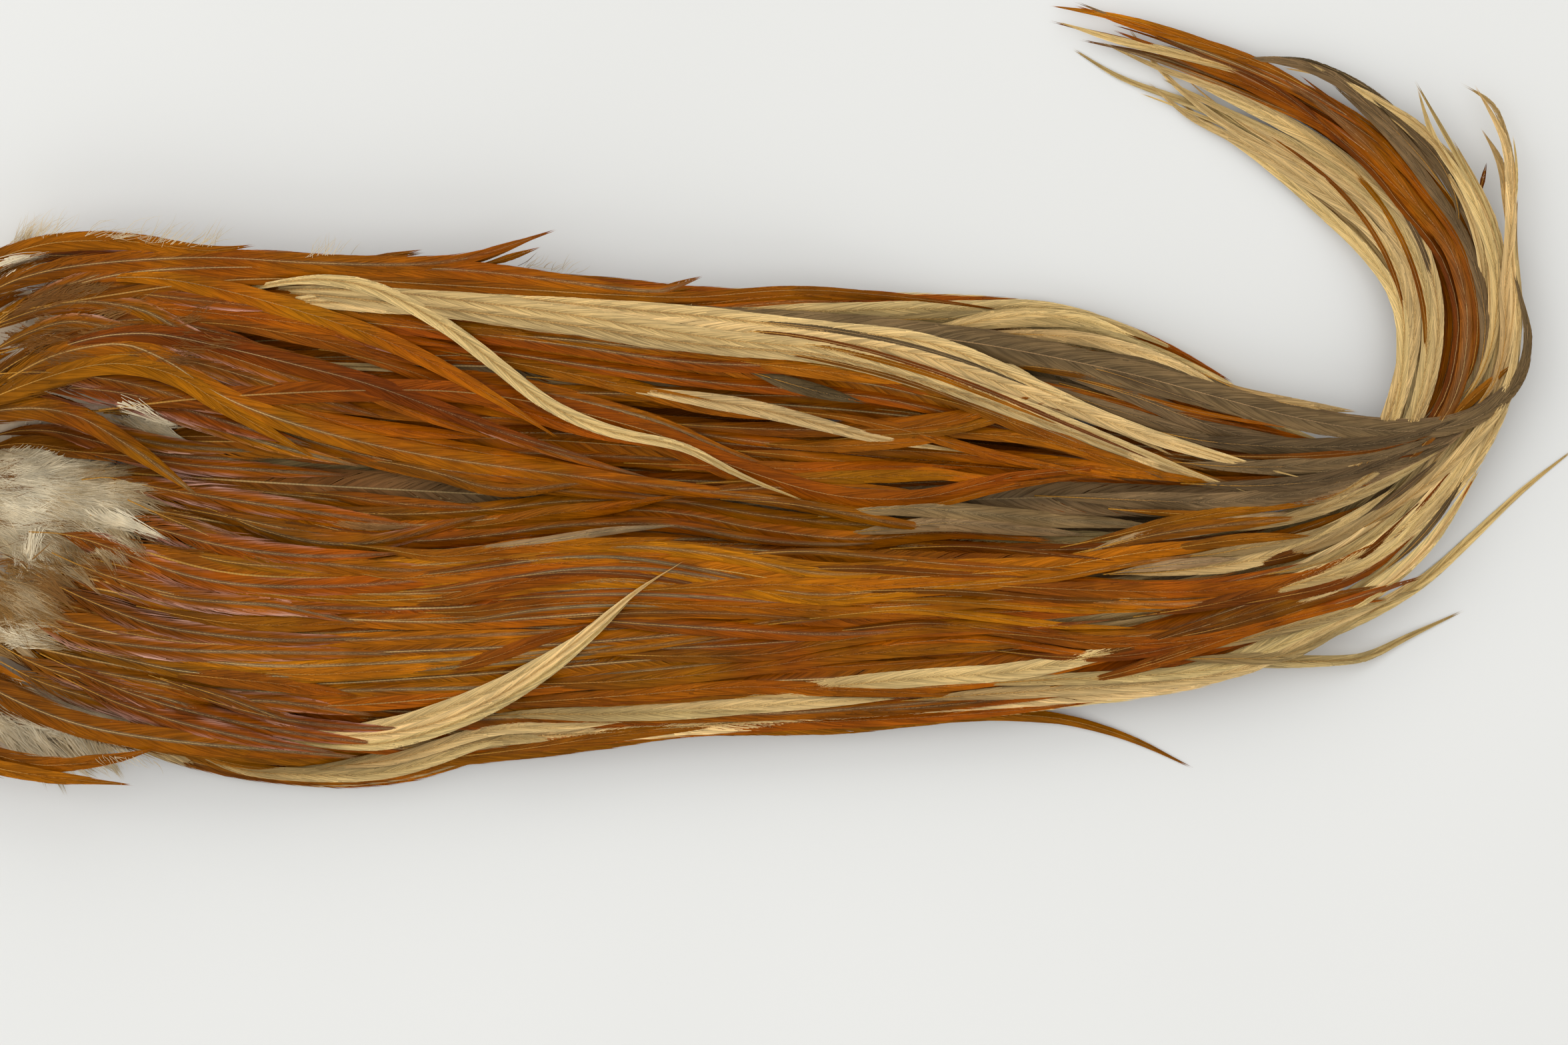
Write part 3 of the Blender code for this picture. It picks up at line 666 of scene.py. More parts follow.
class Pile:
    def __init__(self):
        self.low = np.array(CAD_LOW[:2]) - MAP_MARGIN
        span = np.array(CAD_HIGH[:2]) + MAP_MARGIN - self.low
        self.top = np.zeros((span / CELL).astype(int) + 2)

    def cells(self, x, y):
        i = np.clip(np.rint((x - self.low[0]) / CELL).astype(int), 0, self.top.shape[0] - 1)
        j = np.clip(np.rint((y - self.low[1]) / CELL).astype(int), 0, self.top.shape[1] - 1)
        return i, j

    def strip(self, lie, reach):
        """Points all over a feather, rows along it and columns across."""
        share = np.linspace(-reach, reach, ACROSS_SAMPLES)[None]
        s = np.arange(0, lie.length, CELL)[:, None]
        half = lie.width_at(s)
        z = CREST * half - VANE_DROOP * half * np.abs(share) ** 1.6
        return s[:, 0], lie.place(s + 0 * share, half * share, z)

    def draw(self, lie, reach=0.9, sink=0.0):
        _, points = self.strip(lie, reach)
        np.maximum.at(self.top, self.cells(points[..., 0], points[..., 1]), points[..., 2] - sink)

    def under(self, lie, reach=0.7):
        """The height that a feather needs, at each millimetre of it."""
        s, points = self.strip(lie, reach)
        need = self.top[self.cells(points[..., 0], points[..., 1])].max(axis=1)
        return np.interp(lie.at, s, need)

    def covers(self, lie, share=0.97):
        """Whether nearly all of a feather lies over what has been drawn."""
        _, points = self.strip(lie, 0.9)
        return np.mean(self.top[self.cells(points[..., 0], points[..., 1])] > 0) > share

    def settle(self, need):
        """A line over the needed heights that is never too steep to lie on."""
        z = need.copy()
        step = STEEPEST * FINE
        for k in range(1, len(z)):
            z[k] = max(z[k], z[k - 1] - step)
        for k in range(len(z) - 2, -1, -1):
            z[k] = max(z[k], z[k + 1] - step)
        for _ in range(3):
            padded = np.pad(z, 3, mode="edge")
            z = np.convolve(padded, np.ones(7) / 7, mode="valid")
            z = np.maximum(z, need - 0.1 * MM)
        return z

    def height(self, x, y, t):
        """Height at any places of a map, blended between its cells."""
        u = np.clip((x - self.low[0]) / CELL, 0, self.top.shape[0] - 2)
        v = np.clip((y - self.low[1]) / CELL, 0, self.top.shape[1] - 2)
        i, j = u.astype(int), v.astype(int)
        a, b = u - i, v - j
        here, there = (t[i, k] * (1 - a) + t[i + 1, k] * a for k in (j, j + 1))
        return here * (1 - b) + there * b

    def blanket(self, reach):
        """The map as a soft cover would lie on it, bridging gaps up to twice the reach."""
        steps = int(reach / CELL)
        cover = self.top.copy()
        for choose in (np.max, np.min, np.mean):
            for axis in (0, 1):
                cover = choose([np.roll(cover, k, axis) for k in range(-steps, steps + 1)], axis=0)
        return np.maximum(cover, self.top)


pile = Pile()
print("a map of", pile.top.size, "cells")

# %% [markdown]
# ## The outline that nothing may leave
#
# The frame's feathers give the patch its outline, with its lone tips and the bay inside the hook. A second
# map holds that outline alone. A feather that is made up later asks this map whether it stays inside.

# %% The frame's outline
FRAME_OUTLINE = Pile()
for framed in LIES.values():
    FRAME_OUTLINE.draw(framed, reach=1.0)
print("the frame's feathers cover", round(100 * np.mean(FRAME_OUTLINE.top > 0)), "% of the map")

# %% [markdown]
# ## The feathers of the frame
#
# Each solid is replaced by its own feather. Many solids are drawn broad, to close the pile, so their
# feathers are made slimmer here, or two or three slim ones lie side by side in one solid. The room between
# them goes to the feathers that grow between. The top feathers wait until those have been laid. Where such
# a feather starts under the pile, it lies deeper and narrower until it comes out, so that it comes out as a
# point.

# %% Replace the lower solids
FINE_PITCH = 0.52 * MM
LOWER_PITCH = 0.62 * MM
TOP_NODES = FEATHER_NODES[FEATHER_NODES.index("golden_top_arch"):]
LATE_NODES = ["dun_sweep_over", "ginger_crossing", "ginger_arched", "cream_upper_long", "cream_upper_band",
              "cream_centre_tip", "cream_fan_tip", *TOP_NODES]
# how far along the patch, in millimetres, a feather comes out from under the pile
SHOWS_FROM = {"cream_diagonal": 56, "cream_fan_tip": 58, "cream_upper_long": 60, "cream_upper_band": 62,
              "dun_sweep_over": 90, "cream_centre_tip": 116, "rust_slant": 22, "ginger_crossing": 30,
              "golden_upper_slant": 30, "ginger_top_edge": 22, "golden_top_arch": 14}
ALWAYS_SHOWS = -99
DIVE_RUN = 8 * MM
POINT_RUN = 20 * MM
HIDDEN_DEPTH = 3.0 * MM
LOWEST = 0.3 * MM
# the share of its solid's width that a feather gets
SLIM = {"dun_sweep_over": 0.9, "cream_diagonal": 0.56, "cream_fan_tip": 0.72, "cream_upper_long": 0.9,
        "cream_upper_band": 0.85, "cream_centre_tip": 0.8, "golden_top_arch": 0.6,
        "cream_lower_straggler": 1.35, "cream_long_straggler": 1.25, "golden_lower_straggler": 1.2}
SLIM_SWEEP, SLIM_LATE = 0.62, 0.8
# how many slim feathers lie side by side in one solid
SPLIT = {"cream_fan_tip": 3, "cream_upper_long": 2, "cream_upper_band": 2}
SLIM_WANDER, SLIM_WANDER_RUN = 0.6 * MM, 25 * MM
SLIM_POINT = 14 * MM
# how far from the root the barbs are downy
DOWNY_RUN = 18 * MM
LOOKS_LIKE = {"golden_top_arch": "ginger", "golden_sweep_far_tip": "ginger", "dun_sweep_ginger_edge": "ginger",
              "golden_upper_slant": "ginger"}
SHADES = {"golden_top_arch": 0.2, "golden_sweep_far_tip": 0.6, "rust_sweep": 0.5, "rust_slant": 0.2,
          "dun_sweep_over": 0.4, "golden_upper_slant": 0.7}


def mood_of(rng, webbed=0.65):
    """A feather's shade, hue and grey web, each from 0 to 1."""
    web = rng.uniform(0.5, 1.0) if rng.uniform() < webbed else 0.0
    return np.array([rng.uniform(0.25, 0.75), rng.uniform(0.2, 0.8), web])


def grow(bundle, lie, rng, barb, quill, pitch, mood, loose=0.0, start=1 * MM, vane=0, **looks):
    roll = rng.uniform(-0.07, 0.07)
    bundle.add(lay_barbs(lie, rng, barb, pitch, start=start, loose=loose, roll=roll, **looks), mood, vane)
    bundle.add(lay_quill(lie, quill), mood, material=1)


def narrowed(name, lie):
    if name in SLIM:
        return SLIM[name]
    if "sweep" in name:
        return SLIM_SWEEP
    return SLIM_LATE if name in LATE_NODES else 1.0


def slim_ones(lie, rng, count):
    """The slim feathers that lie side by side where the frame has a broad one."""
    if count == 1:
        return [lie]
    made = []
    for k in range(count):
        last = len(lie.line) if k == count // 2 else round(rng.uniform(0.88, 0.97) * len(lie.line))
        beside = (2 * (k + 0.5) / count - 1) * 0.75 * lie.half
        rows = lie.line.copy()
        rows[:, :2] += lie.side * (beside + SLIM_WANDER * noise_along(rng, lie.at, SLIM_WANDER_RUN))[:, None]
        rows[:, 2] += rng.uniform(0, 0.15) * MM
        to_tip = np.clip((lie.at[last - 1] - lie.at) / SLIM_POINT, 0.03, 1)
        half = lie.half * rng.uniform(1.4, 1.8) / count * to_tip ** 0.7
        made.append(Lie(np.column_stack([rows, half])[:last]))
    return made


def dress(names):
    total = 0
    for name in names:
        rng = np.random.default_rng(1000 + FEATHER_NODES.index(name))
        slot = SLOT_OF[name]
        lie = LIES[name]
        if name in LATE_NODES:
            rows = lie.line.copy()
            rows[:, 2] = np.maximum(rows[:, 2], pile.settle(pile.under(lie)))
            shows_from = SHOWS_FROM.get(name, ALWAYS_SHOWS) * MM
            hidden = np.clip((shows_from - rows[:, 0]) / DIVE_RUN + 0.5, 0, 1)
            rows[:, 2] = np.maximum(rows[:, 2] - HIDDEN_DEPTH * hidden, LOWEST)
            shown = np.clip((rows[:, 0] - shows_from) / POINT_RUN + 0.1, 0.3, 1)
            lie = Lie(np.column_stack([rows, lie.half * shown ** 0.8]))
        lie.half = lie.half * narrowed(name, lie)
        look = LOOKS_LIKE.get(name, slot)
        bundle = Bundle(name + "_feather", slot, [VANE[look], QUILL[look]])
        pitch = FINE_PITCH if name in LATE_NODES else LOWER_PITCH
        for slim in slim_ones(lie, rng, SPLIT.get(name, 1)):
            mood = mood_of(rng)
            mood[0] = SHADES.get(name, mood[0])
            grow(bundle, slim, rng, FINE_BARB, FINE_QUILL, pitch, mood, loose=DOWNY_RUN,
                 ragged=STRAY_RAGGED if "stray" in name else RAGGED)
            pile.draw(slim)
        bundle.build(replaces=[name])
        total += bundle.triangles()
    print(len(names), "feathers,", total, "triangles")


dress([name for name in FEATHER_NODES if name not in LATE_NODES])

# %% [markdown]
# ## The growth between
#
# A patch carries a few hundred feathers. The rest grow beside the ones in the frame and follow them, so
# each is made by stepping sideways from a neighbour, wandering a little, and ending sooner. Some lie just
# under their neighbour and some just over it. In the hook the feathers are slimmer and closer, so there are
# more of them.

# %% Grow the feathers between
PLAIN_PITCH = 0.95 * MM
OUTER_NODES = ("cream_sweep_branch", "cream_sweep_mid_tip", "cream_sweep_outer_tip", "dun_sweep_outer")
ROOT_DEPTH, ROOT_DIVE = 1.2 * MM, 12 * MM
WANDER_RUN = 45 * MM
PALE_FROM = 75 * MM
HOOKED_LENGTH = 250 * MM
NEIGHBOURS, TOP_NEIGHBOURS, HOOK_NEIGHBOURS, OUTER_NEIGHBOURS = 8, 2, 10, 5
# in millimetres: how far a grown feather wanders and lies aside, and its width, on the pile and in the hook
WANDER = 1.3
ASIDE, WIDTHS = (0.7, 3.8), (2.2, 3.4)
HOOK_ASIDE, HOOK_WIDTHS = (-1.9, 1.9), (1.6, 2.5)
# shares of the sideways step that are tried in turn, until the feather stays inside the outline
TRIES = (1.0, 0.5, -0.5, 0.2, 0.0)
LONE_NODES = ("cream_diagonal", "cream_fan_tip", "cream_centre_tip")
SECOND_SLOT = {"ginger": "rust", "rust": "ginger", "golden": "ginger", "cream": "cream", "dun": "cream"}


def lie_beside(lie, rng, sideways, start, end, width, step_up):
    first, last = (round(share * (len(lie.line) - 1)) for share in (start, end))
    rows = lie.line[first:last + 1].copy()
    u = np.linspace(0, 1, len(rows))
    wander = noise_along(rng, lie.at[:len(rows)], WANDER_RUN) * WANDER * MM
    fade = np.sin(np.pi * u) * 0.35 + 0.65
    rows[:, :2] += lie.side[first:last + 1] * (sideways * fade + wander)[:, None]
    rows[:, 2] += step_up - ROOT_DEPTH * np.clip(1 - lie.at[:len(rows)] / ROOT_DIVE, 0, 1)
    rows[:, 2] = np.maximum(rows[:, 2], 0.02 * MM)
    return Lie(rows, half=lambda share: width / 2 * outline(share))


def grow_between():
    bundles = {slot: Bundle("growth_" + slot, slot, [VANE[slot], QUILL[slot]]) for slot in VANE}
    count = 0
    for number, name in enumerate(FEATHER_NODES):
        rng = np.random.default_rng(5000 + number)
        lie = LIES[name]
        hooked = lie.length > HOOKED_LENGTH and "straggler" not in name
        lone = "stray" in name or "straggler" in name or "corner" in name or name in LONE_NODES
        few = name in TOP_NODES or name.startswith("shoulder")
        neighbours = 0 if lone else TOP_NEIGHBOURS if few else NEIGHBOURS
        if hooked:
            neighbours = OUTER_NEIGHBOURS if name in OUTER_NODES else HOOK_NEIGHBOURS
        look = LOOKS_LIKE.get(name, SLOT_OF[name])
        for k in range(neighbours):
            if hooked:
                sideways = rng.uniform(*HOOK_ASIDE) * MM
                start, end = rng.uniform(0.30, 0.5), rng.uniform(0.84, 0.98)
                width = rng.uniform(*HOOK_WIDTHS) * MM
            else:
                sideways = rng.choice([-1, 1]) * rng.uniform(*ASIDE) * MM
                start = rng.uniform(0.0, 0.25)
                end = rng.uniform(0.72, 1.0) if rng.uniform() < 0.6 else rng.uniform(0.45, 0.75)
                width = rng.uniform(*WIDTHS) * MM
            step_up = rng.uniform(-0.35, -0.1) * MM if k % 3 == 0 else rng.uniform(0.1, 0.45) * MM
            slot = look if rng.uniform() < (0.9 if hooked else 0.75) else SECOND_SLOT[look]
            starts_at = lie.line[round(start * (len(lie.line) - 1)), 0]
            if not hooked and slot in ("cream", "dun") and starts_at < PALE_FROM:
                slot = "ginger" if rng.uniform() < 0.6 else "rust"
            for share in TRIES:
                beside = lie_beside(lie, rng, sideways * share, start, end, width, step_up)
                if FRAME_OUTLINE.covers(beside):
                    break
            else:
                continue
            mood = mood_of(rng)
            mood[0] -= rng.uniform(-0.05, 0.15)
            grow(bundles[slot], beside, rng, PLAIN_BARB, PLAIN_QUILL, PLAIN_PITCH, mood, ragged=GROWN_RAGGED)
            pile.draw(beside, reach=0.6, sink=0.05 * MM)
            count += 1
    for bundle in bundles.values():
        bundle.build()
    print(count, "more feathers,", {b.slot: b.triangles() for b in bundles.values()})


grow_between()

# %% [markdown]
# ## Under the pile
#
# Between feathers that lie this loosely the pale table would shine through. On the real patch more feathers
# lie below and close those gaps, dark because little light gets there. Their colour here is set dark as
# well, which is painted shade. A plane under the pile would show its edge, so broad feathers are laid on
# the table instead, beside the frame's and inside its outline.

# %% Lay the under feathers
UNDER_WIDTH = 6 * MM
UNDER_ASIDE = 2.5 * MM
UNDER_TOP = 0.4 * MM
UNDER_PITCH, UNDER_BARB = 1.2 * MM, 0.6 * MM


def lay_under_feathers():
    bundle = Bundle("under_feathers", "rust", [VANE["rust"], QUILL["rust"]])
    rng = np.random.default_rng(41)
    for name in FEATHER_NODES:
        pale = SLOT_OF[name] not in ("ginger", "rust", "golden")
        if pale or name in LATE_NODES or LIES[name].length > HOOKED_LENGTH:
            continue
        for hand in (-1, 1):
            beside = lie_beside(LIES[name], rng, hand * UNDER_ASIDE, 0.0, 0.85, UNDER_WIDTH, 0)
            beside.line[:, 2] = np.minimum(beside.line[:, 2], UNDER_TOP)
            if FRAME_OUTLINE.covers(beside, 0.9):
                # a low shade value: painted shade, dark in colour for their place below the pile
                mood = np.array([rng.uniform(-0.1, 0.15), rng.uniform(0.2, 0.6), 0.0])
                grow(bundle, beside, rng, PLAIN_BARB, PLAIN_QUILL, UNDER_PITCH, mood,
                     ragged=UNDER_RAGGED, width=UNDER_BARB)
    bundle.build()
    print("under feathers", bundle.triangles(), "triangles")


lay_under_feathers()

# %% [markdown]
# ## Down
#
# Every feather of a saddle starts in down: long, fine, limp strands that cling together in pointed locks.
# The frame's tufts give it body. Over them go thousands of tapered strands. The strands of a lock start
# apart and aim at one tip. They lie on the pile like a blanket, which bridges the gaps between the
# feathers' roots. Past the pile's edge a strand sinks only gently, because down is too light and springy to
# hang straight.

# %% Down
DOWN_WIDTH = 0.08 * MM
WISP_WIDTH = 0.24 * MM
BLANKET_REACH = 2 * MM
# how far a strand may sink for each step along it
STRAND_FALL = 0.35
LOCK_STRANDS = 28
LOCK_REACH = (5, 10)


def down_material():
    made, nodes, links, shader = new_material("down_strand")
    _, _, strand, ribbon, shade, white, _, _ = read_finish(nodes, links)
    colour = ramp(nodes, links, white, [(0.0, (0.210, 0.072, 0.006)), (0.35, (0.300, 0.155, 0.040)),
                                        (0.7, (0.580, 0.440, 0.245)), (1.0, (0.800, 0.690, 0.480))])
    fibres = ramp(nodes, links, ribbon, [(k / 10, 0.84 if k % 2 == 0 else 1.06) for k in range(11)])
    colour = mix(nodes, links, 1.0, colour, fibres, "MULTIPLY")
    colour = mix(nodes, links, 1.0, colour, cloud(nodes, links, 220.0, 0.85, 1.1), "MULTIPLY")
    toned = add_node(nodes, "ShaderNodeHueSaturation")
    links.new(colour, toned.inputs["Color"])
    strand_value = maths(nodes, links, "ADD", maths(nodes, links, "MULTIPLY", strand, 0.2), 0.9)
    lock_value = maths(nodes, links, "ADD", maths(nodes, links, "MULTIPLY", shade, 0.3), 0.85)
    links.new(maths(nodes, links, "MULTIPLY", strand_value, lock_value), toned.inputs["Value"])
    links.new(toned.outputs["Color"], shader.inputs["Base Color"])
    shader.inputs["Roughness"].default_value = 0.6
    shader.inputs["Specular IOR Level"].default_value = 0.2
    return made


def core_material():
    made, nodes, links, shader = new_material("down_core")
    links.new(mix(nodes, links, 1.0, (0.56, 0.45, 0.28), cloud(nodes, links, 260.0, 0.75, 1.1), "MULTIPLY"),
              shader.inputs["Base Color"])
    shader.inputs["Roughness"].default_value = 0.8
    return made


DOWN = down_material()
CORE = core_material()


def lay_strands(roots, tips, rng, width, arch, curl, base, white, shade):
    """Strands from roots to tips, both rows of x and y, over the pile."""
    shape, faces = STRAND
    t, w = shape[:, 0], shape[:, 1]
    run = tips - roots
    length = np.hypot(run[:, 0], run[:, 1])
    side = np.column_stack([-run[:, 1], run[:, 0]]) / length[:, None]
    bow = (curl * length)[:, None] * np.sin(math.pi * t) + w * np.broadcast_to(width, length.shape)[:, None]
    x = roots[:, :1] + run[:, :1] * t + side[:, :1] * bow
    y = roots[:, 1:] + run[:, 1:] * t + side[:, 1:] * bow
    from_root = pile.height(roots[:, :1], roots[:, 1:], cover) - STRAND_FALL * t * length[:, None]
    ground = np.maximum(pile.height(x, y, cover), from_root)
    z = ground + base[:, None] + arch[:, None] * np.sin(math.pi * np.clip(t * 0.85, 0, 1))
    strand = rng.uniform(0, 1, len(roots))[:, None]
    flat = 0 * x
    along = t * length[:, None] / ALONG_UNIT
    values = np.stack([along, np.abs(w) + flat, strand + flat, w + 0.5 + flat, flat], -1)
    starts = np.arange(len(roots)) * len(shape)
    made_faces = [(kind[None] + starts[:, None, None]).reshape(-1, kind.shape[1]) for kind in faces]
    mood = np.column_stack([np.repeat(shade, len(shape)), np.repeat(white, len(shape)), flat.ravel()])
    return (np.stack([x, y, z], -1).reshape(-1, 3), made_faces, values.reshape(-1, 5)), mood


def add_tufts_to_pile():
    """The tufts' own height, found by looking straight down on them."""
    for name in ("down_tuft_centre", "down_tuft_lower"):
        node = frame["nodes"][name]
        tree = tree_of(node)
        low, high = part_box(name)
        for x in np.arange(low[0], high[0], CELL):
            for y in np.arange(low[1], high[1], CELL):
                spot = tree.ray_cast(Vector((x, y, 1)), Vector((0, 0, -1)))[0]
                if spot is not None:
                    i, j = pile.cells(x, y)
                    pile.top[i, j] = max(pile.top[i, j], spot.z)
        node.data.materials.clear()
        node.data.materials.append(CORE)
        print(name, [round(v / MM) for v in low], [round(v / MM) for v in high])


add_tufts_to_pile()
cover = pile.blanket(BLANKET_REACH)
DOWN_AREAS = (
    # middle, half size, heading in degrees, locks, whiteness at the middle and at the rim
    ((-9, 0), (23, 33), 0, 170, 0.55, 0.1),
    ((30, 32), (18, 9), 10, 50, 0.1, 0.0),
    ((16, 4.5), (8.5, 9), -12, 230, 1.0, 0.72),
    ((25.5, 2.2), (8, 5.6), -20, 110, 0.95, 0.45),
    ((21, -4), (6, 4), -20, 36, 0.55, 0.1),
    ((15, -11.5), (5, 4), -30, 50, 0.55, 0.15),
    ((19, -33), (11, 5.5), -32, 120, 0.92, 0.7),
    ((14, -18.5), (4, 2.4), -12, 22, 0.9, 0.4),
    ((37, 17), (5.0, 1.8), -12, 22, 0.95, 0.4),
    ((16, 42.2), (5, 1.8), 16, 18, 0.95, 0.5),
    ((8, 2), (5, 8), 180, 40, 0.8, 0.5),
)
NAMED_LOCKS = (
    # root, tip, half width at the root, strands, whiteness
    ((17.4, -2.5), (16.4, -9.8), 1.2, 110, 1.0), ((18.4, -2.5), (18.6, -9.0), 1.0, 90, 1.0),
    ((16.4, -3.5), (15.4, -8.0), 0.8, 60, 1.0), ((31, 1.0), (41.5, -3.4), 0.8, 90, 1.0),
    ((27, 2.2), (35.5, -1.6), 1.0, 80, 0.95), ((17, 0.2), (23.6, 4.4), 0.8, 80, 1.0),
    ((35, 18.2), (42.6, 15.6), 0.9, 70, 0.9), ((14, 41.2), (22, 43.8), 0.8, 60, 1.0),
    ((13.5, -17.8), (17.8, -19.6), 0.8, 60, 1.0),
)


def add_lock(bundle, rng, root, tip, spread, strands, white, shade):
    run = tip - root
    side = np.array([-run[1], run[0]]) / np.hypot(*run)
    starts = root + np.outer(rng.normal(0, spread, strands), side)
    starts = starts + np.outer(rng.uniform(-0.25, 0.35, strands), run)
    ends = tip + np.outer(rng.normal(0, spread * 0.25, strands), side)
    ends = ends + np.outer(rng.uniform(-0.45, 0.06, strands), run)
    bow = rng.normal(0, 0.05) + rng.normal(0, 0.03, strands)
    wisp = np.arange(strands) % 4 == 0
    width = np.where(wisp, WISP_WIDTH, DOWN_WIDTH)
    lift = np.where(wisp, 0.05 * MM, rng.uniform(0.1, 0.4, strands) * MM)
    shape, mood = lay_strands(starts, ends, rng, width, rng.uniform(0.0, 0.4, strands) * MM, bow, lift,
                              np.full(strands, white), np.full(strands, shade))
    bundle.add(shape, mood)


def lay_down():
    rng = np.random.default_rng(31)
    bundle = Bundle("down_strands", "down", [DOWN])
    for middle, size, heading, locks, white, rim in DOWN_AREAS:
        for _ in range(locks):
            away = rng.uniform(-1, 1, 2)
            while np.hypot(*away) > 1:
                away = rng.uniform(-1, 1, 2)
            root = (np.array(middle) + away * size) * MM
            turn = math.radians(heading + 28 * away[1] + rng.uniform(-14, 14))
            tip = root + np.array([math.cos(turn), math.sin(turn)]) * rng.uniform(*LOCK_REACH) * MM
            tone = white + (rim - white) * np.hypot(*away) ** 2 + rng.uniform(-0.08, 0.08)
            spread = rng.uniform(0.5, 1.0) * MM
            add_lock(bundle, rng, root, tip, spread, LOCK_STRANDS, np.clip(tone, 0, 1), rng.uniform())
    bundle.build()
    print("down", bundle.triangles(), "triangles")


lay_down()
# from here on feathers rest on the blanket too
pile.top = cover

# %% [markdown]
# ## The feathers on top that catch the eye
#
# Past the frame's sixty pieces, these are the ones that can be told apart by eye. Each line gives the slot,
# the width, a word for its look and the places its quill passes, in millimetres. A bare one starts as a
# naked quill in the down. The others start as a thin point that sinks a little between their neighbours.
# The first few lie on the table, as the under feathers do. Drawing each as a curve by hand would work too,
# but a list is quicker to correct against the real thing.

